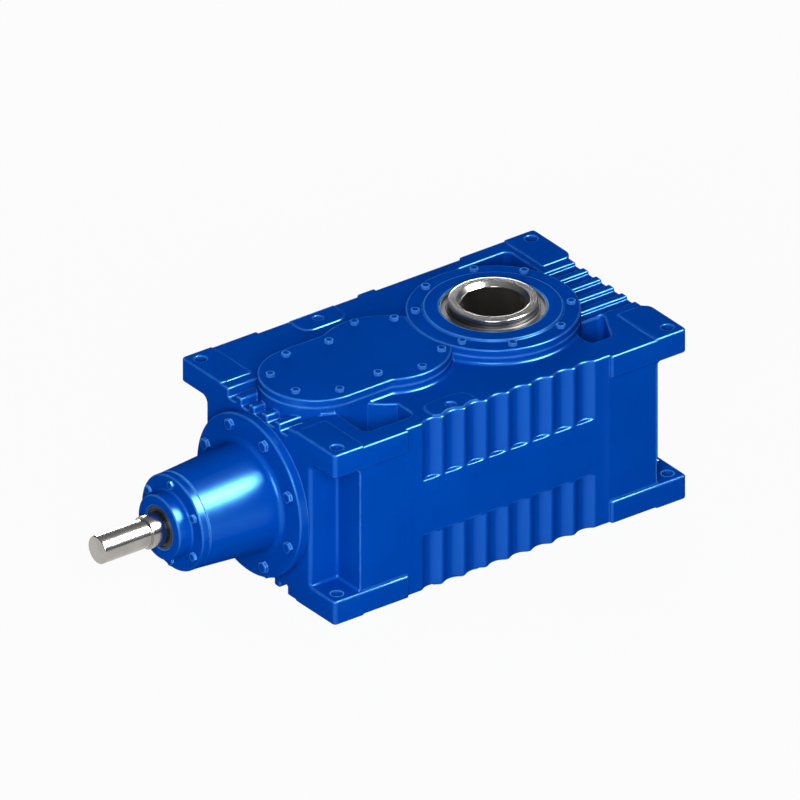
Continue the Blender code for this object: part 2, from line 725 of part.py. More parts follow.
def make_housing():
    body = box((0, -WALL_Y, PAD_RISE), (FAR_FACE, WALL_Y, PLAIN_TOP))
    housing = place("housing", body, CASTING, PAINT)
    for number, block in enumerate(pads() + middle_pads(), 1):
        join(housing, f"pad_{number}", block, CASTING)
    cut(housing, "notches", merged(notches()), CASTING)
    cut(housing, "flutes", merged(flutes()), CASTING)
    cut(housing, "pockets", merged(pockets()), CASTING)
    cut(housing, "near_recesses", merged(near_recesses()), CASTING)
    cut(housing, "far_grooves", merged(far_grooves()), CASTING)
    join(housing, "near_ribs", merged(near_ribs()), CASTING)
    root = PLAIN_TOP - BOSS_ROOT
    lobe_boss = prism([cover_outline(OUTPUT_BOSS - OVERCUT)], root, BOSS_TOP)
    join(housing, "lobe_boss", lobe_boss, CASTING)
    join(housing, "output_boss", cylinder(OUTPUT_BOSS, root, BOSS_TOP, (OUTPUT_X, 0)), CASTING)
    recess = prism([chamber_outline(COVER_LEDGE, LEDGE_STEPS)], -OVERCUT, FLOOR + SEAT_GAP)
    cut(housing, "bottom_recess", recess, CASTING)
    lower = prism([chamber_outline(0, CHAMBER_STEPS)], FLOOR - SEAT_GAP, CHAMBER_SPLIT)
    cut(housing, "lower_chamber", lower, CASTING)
    upper = prism([upper_chamber_outline()], CHAMBER_SPLIT - OVERCUT, CEILING)
    cut(housing, "upper_chamber", upper, CASTING)
    input_bore = cylinder(INPUT_SPIGOT + SEAT_GAP, -OVERCUT, INPUT_BORE_DEPTH)
    cut(housing, "input_bore", input_bore, INPUT_AXIS)
    for name, bore in upper_bores():
        cut(housing, name, bore, CASTING)
    depth = COVER_BOLT_GRIP + HOLE_END_GAP
    tapped = holes(COVER_BOLT_PLACES + OUTPUT_BOLT_PLACES, BOLT_HOLE, BOSS_TOP - depth, COVER_TOP)
    cut(housing, "tapped_holes", tapped, CASTING)
    tapped = holes(FLANGE_BOLT_PLACES, FLANGE_HOLE, -OVERCUT, depth)
    cut(housing, "flange_tapped_holes", tapped, INPUT_AXIS)
    cut(housing, "foot_holes", merged(foot_holes()), CASTING)


# Covers
def make_intermediate_cover():
    outline = cover_outline(OUTPUT_BOSS + SEAT_GAP)
    cover = place("intermediate_cover", prism([outline], COVER_SEAT, COVER_TOP), CASTING, PAINT)
    for x, seat, bearing in UPRIGHT_BEARINGS[:2]:
        spigot = cylinder(bearing[0], UPPER_BEARING_TOP + SEAT_GAP, COVER_SEAT + COVER_THICKNESS / 2, (x, 0))
        join(cover, "spigot", spigot, CASTING)
        relief = cylinder(seat + SHAFT_SHOULDER, UPPER_BEARING_TOP - OVERCUT, COVER_SEAT, (x, 0), SHAFT_SIDES)
        cut(cover, "shaft_relief", relief, CASTING)
    clear = holes(COVER_BOLT_PLACES, BOLT_HOLE, COVER_SEAT - OVERCUT, COVER_TOP + OVERCUT)
    cut(cover, "bolt_holes", clear, CASTING)
    bolts(
        "intermediate_cover_bolt", COVER_BOLT_PLACES, CASTING,
        COVER_TOP, COVER_THICKNESS + COVER_BOLT_GRIP, COVER_BOLT, 1,
    )


def make_output_cover():
    spigot = UPPER_BEARING_TOP + SEAT_GAP
    hub_top = COVER_TOP + OUTPUT_HUB_RISE
    seal_seat = OUTPUT_SEAL_OUTER + SEAT_GAP
    seal_floor = hub_top - SEAL_INSET - OUTPUT_SEAL_WIDTH - SEAT_GAP
    shaft_hole = HOLLOW_SEAT + SHAFT_SHOULDER
    profile = [
        (OUTPUT_HUB, hub_top), (OUTPUT_HUB, COVER_TOP), (OUTPUT_BOSS, COVER_TOP), (OUTPUT_BOSS, COVER_SEAT),
        (OUTPUT_BEARING_RADIUS, COVER_SEAT), (OUTPUT_BEARING_RADIUS, spigot), (shaft_hole, spigot),
        (shaft_hole, seal_floor), (seal_seat, seal_floor), (seal_seat, hub_top),
    ]
    cover = turned("output_cover", profile, OUTPUT_AXIS, PAINT)
    clear = holes(OUTPUT_BOLT_PLACES, BOLT_HOLE, COVER_SEAT - OVERCUT, COVER_TOP + OVERCUT)
    cut(cover, "bolt_holes", clear, CASTING)
    bolts(
        "output_cover_bolt", OUTPUT_BOLT_PLACES, CASTING,
        COVER_TOP, COVER_THICKNESS + COVER_BOLT_GRIP, COVER_BOLT, 1,
    )
    low = seal_floor + SEAT_GAP
    ring(
        "output_seal_top", HOLLOW_SEAT + RUNNING_GAP, OUTPUT_SEAL_OUTER, low, low + OUTPUT_SEAL_WIDTH,
        OUTPUT_AXIS, RUBBER,
    )


def make_bottom_cover():
    plate = prism([chamber_outline(COVER_LEDGE - SEAT_GAP, LEDGE_STEPS)], FLOOR_LOW, FLOOR)
    cover = place("bottom_cover", plate, CASTING, PAINT)
    middle = (FLOOR_LOW + FLOOR) / 2
    for x, seat, bearing in UPRIGHT_BEARINGS:
        outer, width = bearing
        boss = cylinder(outer + BEARING_BOSS_WALL, middle, LOWER_BEARING + width, (x, 0))
        join(cover, "bearing_boss", boss, CASTING)
    for x, seat, bearing in UPRIGHT_BEARINGS:
        bore = cylinder(bearing[0] + SEAT_GAP, FLOOR, FLOOR + bearing[1] + OVERCUT, (x, 0))
        cut(cover, "bearing_bore", bore, CASTING)
    mouth = cylinder(OUTPUT_SEAL_OUTER + SEAT_GAP, -OVERCUT, FLOOR + OVERCUT, (OUTPUT_X, 0))
    cut(cover, "shaft_mouth", mouth, CASTING)
    low = FLOOR_LOW + SEAL_INSET
    ring(
        "output_seal_bottom", HOLLOW_SEAT + RUNNING_GAP, OUTPUT_SEAL_OUTER, low, low + OUTPUT_SEAL_WIDTH,
        OUTPUT_AXIS, RUBBER,
    )


def make_input_cartridge():
    flange_back = -SEAT_GAP
    flange_front = flange_back - FLANGE_THICKNESS
    seat = INPUT_BEARING_RADIUS + SEAT_GAP
    waist = INPUT_BEARING_RADIUS - CARTRIDGE_WALL_STEP
    profile = [
        (INPUT_SPIGOT, INPUT_SPIGOT_LENGTH), (INPUT_SPIGOT, flange_back), (FLANGE_RADIUS, flange_back),
        (FLANGE_RADIUS, flange_front), (CONE_ROOT, flange_front), (CONE_TIP, -CONE_REACH + SEAT_GAP),
        (seat, -CONE_REACH + SEAT_GAP), (seat, FRONT_SHOULDER), (waist, FRONT_SHOULDER),
        (waist, -REAR_BEARING_SHOULDER), (seat, -REAR_BEARING_SHOULDER), (seat, INPUT_SPIGOT_LENGTH),
    ]
    cartridge = turned("input_cartridge", profile, INPUT_AXIS, PAINT)
    clear = holes(FLANGE_BOLT_PLACES, FLANGE_HOLE, flange_front - OVERCUT, flange_back + OVERCUT)
    cut(cartridge, "flange_holes", clear, INPUT_AXIS)
    tapped = NOSE_BOLT_GRIP + HOLE_END_GAP - CONE_REACH
    cut(cartridge, "nose_holes", holes(NOSE_BOLT_PLACES, BOLT_HOLE, NOSE_FACE, tapped), INPUT_AXIS)
    bolts(
        "flange_bolt", FLANGE_BOLT_PLACES, INPUT_AXIS,
        flange_front, FLANGE_THICKNESS + COVER_BOLT_GRIP, FLANGE_BOLT, -1,
    )


def make_input_end_cover():
    spigot = FRONT_BEARING - SEAT_GAP
    seal_seat = INPUT_SEAL_OUTER + SEAT_GAP
    seal_floor = BOSS_FACE + SEAL_INSET + INPUT_SEAL_WIDTH + SEAT_GAP
    shaft_hole = INPUT_SEAT + 2 * RUNNING_GAP
    profile = [
        (INPUT_BEARING_RADIUS, spigot), (INPUT_BEARING_RADIUS, -CONE_REACH), (CONE_TIP, -CONE_REACH),
        (CONE_TIP, NOSE_FACE), (NOSE_BOSS_RADIUS, NOSE_FACE), (NOSE_BOSS_RADIUS, BOSS_FACE),
        (seal_seat, BOSS_FACE), (seal_seat, seal_floor), (shaft_hole, seal_floor), (shaft_hole, spigot),
    ]
    cover = turned("input_end_cover", profile, INPUT_AXIS, PAINT)
    clear = holes(NOSE_BOLT_PLACES, BOLT_HOLE, NOSE_FACE - OVERCUT, -CONE_REACH + OVERCUT)
    cut(cover, "bolt_holes", clear, INPUT_AXIS)
    grip = NOSE_PLATE + NOSE_BOLT_GRIP
    bolts("nose_bolt", NOSE_BOLT_PLACES, INPUT_AXIS, NOSE_FACE, grip, COVER_BOLT, -1)
    low = BOSS_FACE + SEAL_INSET
    ring(
        "input_seal", INPUT_SEAT + RUNNING_GAP, INPUT_SEAL_OUTER, low, low + INPUT_SEAL_WIDTH,
        INPUT_AXIS, RUBBER, SHAFT_SIDES,
    )


# Shafts and gears
def keyed(shaft, name, seat, key, low, high, axis):
    """A key on +x between two heights, with its seat cut in the shaft."""
    width, height = key
    inner = seat - height / 2
    slot = box(
        (inner - SEAT_GAP, -width / 2 - SEAT_GAP, low - SEAT_GAP),
        (seat + height, width / 2 + SEAT_GAP, high + SEAT_GAP),
    )
    cut(shaft, f"{name}_seat", slot, axis)
    place(name, box((inner, -width / 2, low), (seat + height / 2, width / 2, high)), axis, STEEL)


def make_input_shaft():
    tip_small = INPUT_END_RADIUS - INPUT_END_CHAMFER
    back = BEVEL_WHEEL_RADIUS + BEVEL_BACK
    head_end = FIRST_X - back + SHAFT_SHOULDER
    profile = [
        (0, head_end), (INPUT_HEAD_RADIUS, head_end), (INPUT_HEAD_RADIUS, INPUT_STOP + INPUT_HEAD_LENGTH),
        (INPUT_STOP_RADIUS, INPUT_STOP + INPUT_HEAD_LENGTH), (INPUT_STOP_RADIUS, INPUT_STOP),
        (INPUT_SEAT, INPUT_STOP), (INPUT_SEAT, COLLAR_END), (INPUT_END_RADIUS, COLLAR_END),
        (INPUT_END_RADIUS, INPUT_TIP + INPUT_END_CHAMFER), (tip_small, INPUT_TIP), (0, INPUT_TIP),
    ]
    shaft = turned("input_shaft", profile, INPUT_AXIS, BRIGHT_STEEL, SHAFT_SIDES)
    pinion = bevel_gear(BEVEL_PINION_TEETH, BEVEL_WHEEL_TEETH, ADDENDUM_SHIFT, 0, FIRST_X, back, True)
    join(shaft, "bevel_pinion", pinion, INPUT_AXIS)
    inner = INPUT_SEAT + SEAT_GAP
    ring(
        "input_spacer", inner, INPUT_STOP_RADIUS, FRONT_SHOULDER, -REAR_BEARING_SHOULDER, INPUT_AXIS, STEEL,
        SHAFT_SIDES,
    )
    for name, low in (("input_front_bearing", FRONT_BEARING), ("input_rear_bearing", REAR_BEARING)):
        high = low + INPUT_BEARING_WIDTH
        bore = INPUT_SEAT + RUNNING_GAP
        ring(name, bore, INPUT_BEARING_RADIUS, low, high, INPUT_AXIS, STEEL, SHAFT_SIDES)


def make_first_shaft():
    shoulder = FIRST_WHEEL_SEAT + SHAFT_SHOULDER
    low = LOWER_BEARING + RUNNING_GAP
    seat_low = LOWER_BEARING + FIRST_BEARING_WIDTH + RUNNING_GAP
    seat_high = UPPER_BEARING_TOP - FIRST_BEARING_WIDTH - RUNNING_GAP
    pinion_low = SECOND_WHEEL_LOW - PINION_OVERHANG
    pinion_high = SECOND_WHEEL_HIGH + PINION_OVERHANG
    back = BEVEL_PINION_RADIUS + DEDENDUM * BEVEL_MODULE + BEVEL_BACK
    hub_high = bevel_hub_top()
    profile = [
        (0, UPPER_BEARING_TOP), (FIRST_SEAT, UPPER_BEARING_TOP), (FIRST_SEAT, seat_high),
        (FIRST_WHEEL_SEAT, seat_high), (FIRST_WHEEL_SEAT, pinion_low + SEAT_GAP),
        (shoulder, pinion_low + SEAT_GAP), (shoulder, hub_high + SEAT_GAP),
        (FIRST_WHEEL_SEAT, hub_high + SEAT_GAP), (FIRST_WHEEL_SEAT, seat_low), (FIRST_SEAT, seat_low),
        (FIRST_SEAT, low), (0, low),
    ]
    shaft = turned("first_pinion_shaft", profile, FIRST_AXIS, STEEL, SHAFT_SIDES)
    teeth = gear_outline(FIRST_PINION_TEETH, FIRST_MODULE, ADDENDUM_SHIFT, 0)
    join(shaft, "first_pinion", prism([teeth], pinion_low, pinion_high), FIRST_AXIS)
    phase = math.pi + math.pi / BEVEL_WHEEL_TEETH
    shape = bevel_gear(BEVEL_WHEEL_TEETH, BEVEL_PINION_TEETH, -ADDENDUM_SHIFT, phase, INPUT_Z, back, False)
    wheel = place("bevel_wheel", shape, FIRST_AXIS, STEEL)
    bore = keyed_bore(FIRST_WHEEL_SEAT + SEAT_GAP, BEVEL_KEY)
    wheel_low = INPUT_Z - back
    cut(wheel, "bevel_wheel_bore", prism([bore], wheel_low - OVERCUT, INPUT_Z), FIRST_AXIS)
    key_low = wheel_low + KEY_END_LAND
    keyed(shaft, "bevel_wheel_key", FIRST_WHEEL_SEAT, BEVEL_KEY, key_low, hub_high - KEY_END_LAND, FIRST_AXIS)


def bevel_hub_top():
    """Height of the bevel wheel's flat hub, just under the small ends of its tooth roots."""
    slope = math.atan2(BEVEL_WHEEL_TEETH, BEVEL_PINION_TEETH)
    shrink = 1 - BEVEL_FACE / BEVEL_CONE
    root = BEVEL_MODULE * (DEDENDUM + ADDENDUM_SHIFT)
    return INPUT_Z - shrink * (BEVEL_PINION_RADIUS + root * math.sin(slope)) - SEAT_GAP


def make_second_shaft():
    shoulder = SECOND_WHEEL_SEAT + SHAFT_SHOULDER
    low = LOWER_BEARING + RUNNING_GAP
    seat_low = LOWER_BEARING + SECOND_BEARING_WIDTH + RUNNING_GAP
    seat_high = UPPER_BEARING_TOP - SECOND_BEARING_WIDTH - RUNNING_GAP
    pinion_low = OUTPUT_WHEEL_LOW - PINION_OVERHANG
    pinion_high = OUTPUT_WHEEL_HIGH + PINION_OVERHANG
    profile = [
        (0, UPPER_BEARING_TOP), (SECOND_SEAT, UPPER_BEARING_TOP), (SECOND_SEAT, seat_high),
        (SECOND_WHEEL_SEAT, seat_high), (SECOND_WHEEL_SEAT, SECOND_WHEEL_LOW - SEAT_GAP),
        (shoulder, SECOND_WHEEL_LOW - SEAT_GAP), (shoulder, seat_low), (SECOND_SEAT, seat_low),
        (SECOND_SEAT, low), (0, low),
    ]
    shaft = turned("second_pinion_shaft", profile, SECOND_AXIS, STEEL, SHAFT_SIDES)
    teeth = gear_outline(SECOND_PINION_TEETH, SECOND_MODULE, ADDENDUM_SHIFT, 0)
    join(shaft, "second_pinion", prism([teeth], pinion_low, pinion_high), SECOND_AXIS)
    phase = math.pi + math.pi / SECOND_WHEEL_TEETH
    outline = gear_outline(SECOND_WHEEL_TEETH, FIRST_MODULE, -ADDENDUM_SHIFT, phase)
    bore = keyed_bore(SECOND_WHEEL_SEAT + SEAT_GAP, SECOND_KEY)
    place("second_wheel", prism([outline, bore], SECOND_WHEEL_LOW, SECOND_WHEEL_HIGH), SECOND_AXIS, STEEL)
    keyed(
        shaft, "second_wheel_key", SECOND_WHEEL_SEAT, SECOND_KEY,
        SECOND_WHEEL_LOW + KEY_END_LAND, SECOND_WHEEL_HIGH - KEY_END_LAND, SECOND_AXIS,
    )


def make_output_shaft():
    top = COVER_TOP + HOLLOW_RISE
    low = FLOOR_LOW
    seat_low = LOWER_BEARING + OUTPUT_BEARING_WIDTH + RUNNING_GAP
    stop = OUTPUT_WHEEL_HIGH + SEAT_GAP
    shoulder = HOLLOW_WHEEL_SEAT + SHAFT_SHOULDER - RUNNING_GAP
    lip = HOLLOW_CHAMFER
    mouth = HOLLOW_BORE + HOLLOW_MOUTH
    profile = [
        (HOLLOW_SEAT - lip, top), (HOLLOW_SEAT, top - lip), (HOLLOW_SEAT, stop + SHAFT_SHOULDER),
        (shoulder, stop + SHAFT_SHOULDER), (shoulder, stop), (HOLLOW_WHEEL_SEAT, stop),
        (HOLLOW_WHEEL_SEAT, seat_low), (HOLLOW_SEAT, seat_low), (HOLLOW_SEAT, low + lip),
        (HOLLOW_SEAT - lip, low), (mouth, low), (HOLLOW_BORE, low + HOLLOW_MOUTH),
        (HOLLOW_BORE, top - HOLLOW_MOUTH), (mouth, top),
    ]
    shaft = turned("hollow_shaft", profile, OUTPUT_AXIS, BRIGHT_STEEL)
    half = BORE_KEY_WIDTH / 2
    keyway = box((-half, 0, low - OVERCUT), (half, HOLLOW_BORE + BORE_KEY_DEPTH, top + OVERCUT))
    cut(shaft, "bore_keyway", keyway, OUTPUT_AXIS)
    phase = math.pi + math.pi / OUTPUT_WHEEL_TEETH
    outline = gear_outline(OUTPUT_WHEEL_TEETH, SECOND_MODULE, -ADDENDUM_SHIFT, phase)
    bore = keyed_bore(HOLLOW_WHEEL_SEAT + SEAT_GAP, OUTPUT_KEY, ROUND_SIDES)
    place("output_wheel", prism([outline, bore], OUTPUT_WHEEL_LOW, OUTPUT_WHEEL_HIGH), OUTPUT_AXIS, STEEL)
    keyed(
        shaft, "output_wheel_key", HOLLOW_WHEEL_SEAT, OUTPUT_KEY,
        OUTPUT_WHEEL_LOW + KEY_END_LAND, OUTPUT_WHEEL_HIGH - KEY_END_LAND, OUTPUT_AXIS,
    )


def make_bearings():
    """The upper and lower bearings of the three upright shafts."""
    names = ("first", "second", "output")
    axes = (FIRST_AXIS, SECOND_AXIS, OUTPUT_AXIS)
    for name, axis, (x, seat, bearing) in zip(names, axes, UPRIGHT_BEARINGS):
        outer, width = bearing
        sides = ROUND_SIDES if x == OUTPUT_X else SHAFT_SIDES
        for level, low in (("lower", LOWER_BEARING), ("upper", UPPER_BEARING_TOP - width)):
            ring(f"{name}_{level}_bearing", seat + RUNNING_GAP, outer, low, low + width, axis, STEEL, sides)


# Tables of what repeats
COVER_BOLT = (COVER_BOLT_RADIUS, COVER_BOLT_FLATS, COVER_BOLT_HEAD)
FLANGE_BOLT = (FLANGE_BOLT_RADIUS, FLANGE_BOLT_FLATS, FLANGE_BOLT_HEAD)
BOLT_HOLE = COVER_BOLT_RADIUS + SEAT_GAP
FLANGE_HOLE = FLANGE_BOLT_RADIUS + SEAT_GAP
BEVEL_KEY = (BEVEL_KEY_WIDTH, BEVEL_KEY_HEIGHT)
SECOND_KEY = (SECOND_KEY_WIDTH, SECOND_KEY_HEIGHT)
OUTPUT_KEY = (OUTPUT_KEY_WIDTH, OUTPUT_KEY_HEIGHT)
UPRIGHT_BEARINGS = (
    (FIRST_X, FIRST_SEAT, (FIRST_BEARING_RADIUS, FIRST_BEARING_WIDTH)),
    (SECOND_X, SECOND_SEAT, (SECOND_BEARING_RADIUS, SECOND_BEARING_WIDTH)),
    (OUTPUT_X, HOLLOW_SEAT, (OUTPUT_BEARING_RADIUS, OUTPUT_BEARING_WIDTH)),
)
COVER_BOLT_PLACES = around(FIRST_X, FIRST_LOBE - FIRST_LOBE_BOLT_EDGE, both_sides(FIRST_LOBE_BOLTS))
COVER_BOLT_PLACES += around(SECOND_X, SECOND_LOBE - SECOND_LOBE_BOLT_EDGE, both_sides(SECOND_LOBE_BOLTS))
OUTPUT_BOLT_PLACES = around(OUTPUT_X, OUTPUT_BOSS - OUTPUT_BOLT_EDGE, both_sides(OUTPUT_BOLTS))
FLANGE_BOLT_PLACES = around(
    0, FLANGE_RADIUS - FLANGE_BOLT_EDGE, [2 * math.pi * (k + 0.5) / FLANGE_BOLTS for k in range(FLANGE_BOLTS)]
)
NOSE_BOLT_PLACES = around(
    0, CONE_TIP - NOSE_BOLT_EDGE, [2 * math.pi * k / NOSE_BOLTS for k in range(NOSE_BOLTS)]
)

for old in list(bpy.data.objects):
    bpy.data.objects.remove(old)
PARTS = collection("gear_unit")
CUTTERS = collection("gear_unit_cutters")
PAINT = finish("blue_paint", (0.0, 0.055, 0.35), 0.35, 0.0)
STEEL = finish("gear_steel", (0.35, 0.35, 0.36), 0.4, 1.0)
BRIGHT_STEEL = finish("polished_steel", (0.62, 0.60, 0.57), 0.22, 1.0)
RUBBER = finish("seal_rubber", (0.015, 0.014, 0.015), 0.55, 0.0)

CASTING = empty("casting_frame", location=(-CENTRE_X, 0, 0))
INPUT_AXIS = empty("input_axis", CASTING, (0, 0, INPUT_Z), (0, math.pi / 2, 0))
FIRST_AXIS = empty("first_axis", CASTING, (FIRST_X, 0, 0))
SECOND_AXIS = empty("second_axis", CASTING, (SECOND_X, 0, 0))
OUTPUT_AXIS = empty("output_axis", CASTING, (OUTPUT_X, 0, 0))

make_housing()
make_intermediate_cover()
make_output_cover()
make_bottom_cover()
make_input_cartridge()
make_input_end_cover()
make_input_shaft()
make_first_shaft()
make_second_shaft()
make_output_shaft()
make_bearings()
bpy.context.view_layer.update()
for part in PARTS.objects:
    if part.type == "MESH":
        settle(part)
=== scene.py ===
# %% [markdown]
# # A cast right-angle gear unit
# This notebook dresses a finished CAD model for a studio picture. The CAD gives every size and
# place. Here the outer castings are built again with the fillets, rounded rims and flutes that
# a foundry gives them, the turned pieces get their chamfers, and every surface gets a material
# made of shader nodes.

# %% Load the CAD frame
import json
import math

import bmesh
import bpy
from mathutils import Matrix, Vector


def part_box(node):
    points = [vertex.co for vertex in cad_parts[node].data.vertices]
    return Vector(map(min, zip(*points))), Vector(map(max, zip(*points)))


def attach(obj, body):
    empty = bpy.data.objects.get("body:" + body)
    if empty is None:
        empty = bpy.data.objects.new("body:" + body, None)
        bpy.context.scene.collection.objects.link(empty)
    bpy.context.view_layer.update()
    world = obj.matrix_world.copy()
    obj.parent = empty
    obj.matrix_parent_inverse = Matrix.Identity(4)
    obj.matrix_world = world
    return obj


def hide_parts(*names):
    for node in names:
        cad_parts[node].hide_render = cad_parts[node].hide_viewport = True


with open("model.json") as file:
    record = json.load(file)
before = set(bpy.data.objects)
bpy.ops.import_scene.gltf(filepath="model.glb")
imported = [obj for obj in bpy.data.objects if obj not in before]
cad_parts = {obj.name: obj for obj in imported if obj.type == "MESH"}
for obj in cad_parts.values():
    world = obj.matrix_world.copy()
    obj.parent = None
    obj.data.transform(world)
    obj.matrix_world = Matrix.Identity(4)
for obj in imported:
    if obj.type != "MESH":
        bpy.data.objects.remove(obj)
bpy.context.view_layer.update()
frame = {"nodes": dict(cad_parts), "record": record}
nodes = frame["nodes"]
print("CAD nodes:", len(nodes))

# %% [markdown]
# ## Sizes
# Shapes are drawn in millimetres, with x = 0 on the input-end face of the casting, y = 0 on its
# middle plane and z = 0 under its feet. Whatever a CAD node's box can tell is read from there,
# so that nothing has to be fitted by eye.

# %% Sizes of the casting in millimetres
MM = 0.001
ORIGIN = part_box("housing")[0].x


def span(node, axis):
    """A node's lowest and highest value along an axis, in the casting's millimetres."""
    shift = ORIGIN if axis == 0 else 0
    return [(corner[axis] - shift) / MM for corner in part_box(node)]


def middle(node, axis):
    return sum(span(node, axis)) / 2


LENGTH = span("housing", 0)[1]
SIDE = span("housing", 1)[1]  # half of the width, over the side pads
BOSS_TOP = span("housing", 2)[1]
INPUT_Z = middle("input_seal", 2)
HEIGHT = 2 * INPUT_Z  # over the top and bottom pads
FIRST_X = middle("first_lower_bearing", 0)
SECOND_X = middle("second_lower_bearing", 0)
OUTPUT_X = middle("hollow_shaft", 0)
PAD_RISE = 1.5  # the pads stand this far above the plain top
SIDE_RISE = 4.25  # and the strips this far out from the long walls
FAR_RISE = 6.5  # and the far pads this far beyond the far face
PLAIN_TOP = HEIGHT - PAD_RISE
WALL = SIDE - SIDE_RISE
FAR_FACE = LENGTH - FAR_RISE
FOOT = 31.0  # height of a foot
HEAD = HEIGHT - FOOT
print("casting:", round(LENGTH, 1), "x", round(2 * SIDE, 1), "x", round(HEIGHT, 1), "mm")

# %% [markdown]
# ## Materials
# Four finishes cover the whole unit. Painted image maps could give them, but nodes need no
# unwrapping and stay sharp at any distance. They read Object coordinates, which are the same
# metres as the CAD, so a pattern's scale can be worked out from its real size in millimetres.

# %% Colours and nodes
def linear(code):
    """An sRGB hex colour as linear red, green, blue and alpha."""
    parts = [int(code[k:k + 2], 16) / 255 for k in (0, 2, 4)]
    return [p / 12.92 if p <= 0.04045 else ((p + 0.055) / 1.055) ** 2.4 for p in parts] + [1]


def add(tree, kind, links=(), **values):
    """Adds a node, sets its inputs or properties by name, and links outputs into its inputs."""
    node = tree.nodes.new(kind)
    for name, value in values.items():
        label = name.replace("_", " ")
        if label in node.inputs:
            node.inputs[label].default_value = value
        else:
            setattr(node, name, value)
    for source, output, target in links:
        tree.links.new(source.outputs[output], node.inputs[target])
    return node


def per_mm(size):
    """The texture scale whose features are about size millimetres across."""
    return 1 / (size * MM)


print("a pattern of 1 mm has the scale", round(per_mm(1)))

# %% [markdown]
# ## Painted edge highlights
# Rounded edges catch the light as pale lines. Here that highlight is painted into the colour
# along every edge, most where an edge faces up. Edges could be painted by hand or found by how
# sharply a mesh bends. Ambient occlusion over a very short distance finds them on any mesh,
# whether it is finely or coarsely divided, so it is used here.

# %% Edges with a painted highlight
EDGE_REACH = 2.6  # in mm, how near an edge the painted highlight starts
# how strong the painted highlight is in fillets, next to convex edges
HOLLOW_SHARE = 0.6
HIGHLIGHT_PATCH = 22  # in mm, the size of the patches where the painted highlight is stronger or weaker


def paint_edge_highlights(tree, place, colour, edge_highlight):
    """Mixes a painted highlight colour in along edges, which are found as places that lie near other
    faces.

    Rays sent into the metal meet another face soon at a convex edge, and rays sent out do so in
    a fillet, which gets a weaker painted highlight. Edges that look up, where the light falls,
    get the strongest painted highlight.
    """
    reach = dict(Distance=EDGE_REACH * MM, samples=6, only_local=True)
    convex = add(tree, "ShaderNodeAmbientOcclusion", inside=True, **reach)
    hollow = add(tree, "ShaderNodeAmbientOcclusion", inside=False, **reach)
    edge = add(
        tree, "ShaderNodeMapRange", [(convex, "AO", "Value")],
        From_Min=0.90, From_Max=0.68, To_Min=0, To_Max=1,
    )
    fillet = add(
        tree, "ShaderNodeMapRange", [(hollow, "AO", "Value")],
        From_Min=0.90, From_Max=0.6, To_Min=0, To_Max=HOLLOW_SHARE,
    )
    both_kinds = add(tree, "ShaderNodeMath", [(edge, 0, 0), (fillet, 0, 1)], operation="MAXIMUM")
    # patches where the painted edge highlight is stronger or weaker
    highlight_patches = add(tree, "ShaderNodeTexNoise", place, Scale=per_mm(HIGHLIGHT_PATCH), Detail=3)
    patchy = add(
        tree, "ShaderNodeMapRange", [(highlight_patches, 0, "Value")],
        From_Min=0.3, From_Max=0.6, To_Min=0.5, To_Max=0.85,
    )
    facing = add(tree, "ShaderNodeNewGeometry")
    upright = add(tree, "ShaderNodeSeparateXYZ", [(facing, "Normal", 0)])
    # the painted highlight is strongest on edges that face up, where the light falls
    lit_from_above = add(
        tree, "ShaderNodeMapRange", [(upright, "Z", "Value")],
        From_Min=-0.25, From_Max=0.35, To_Min=0, To_Max=1,
    )
    share = add(tree, "ShaderNodeMath", [(both_kinds, 0, 0), (patchy, 0, 1)], operation="MULTIPLY")
    share = add(tree, "ShaderNodeMath", [(share, 0, 0), (lit_from_above, 0, 1)], operation="MULTIPLY")
    # the pale painted highlight colour is mixed into the paint along edges
    mix = add(tree, "ShaderNodeMixRGB", [(share, 0, "Fac"), (colour, 0, 1)])
    mix.inputs[2].default_value = linear(edge_highlight)
    return mix


# the painted edge highlight reaches this far from an edge
print("edges are rubbed within", EDGE_REACH, "mm")

# %% [markdown]
# ## Finishes
# Each finish is one Principled shader with the same few layers: patches of two shades, patches of
# more and less gloss, and fine bumps. One function builds them all, so that the finishes differ
# only in numbers. The enamel also loses its gloss on faces that slant away from the eye, which
# keeps its blue deep there. Layer Weight tells how far a face slants.

# %% One function for every finish
SHADE_STOPS = (0.32, 0.68)
GRAIN_RANGE = dict(From_Min=0.3, From_Max=0.7)
SLANT_RANGE = dict(From_Min=0.13, From_Max=0.30)


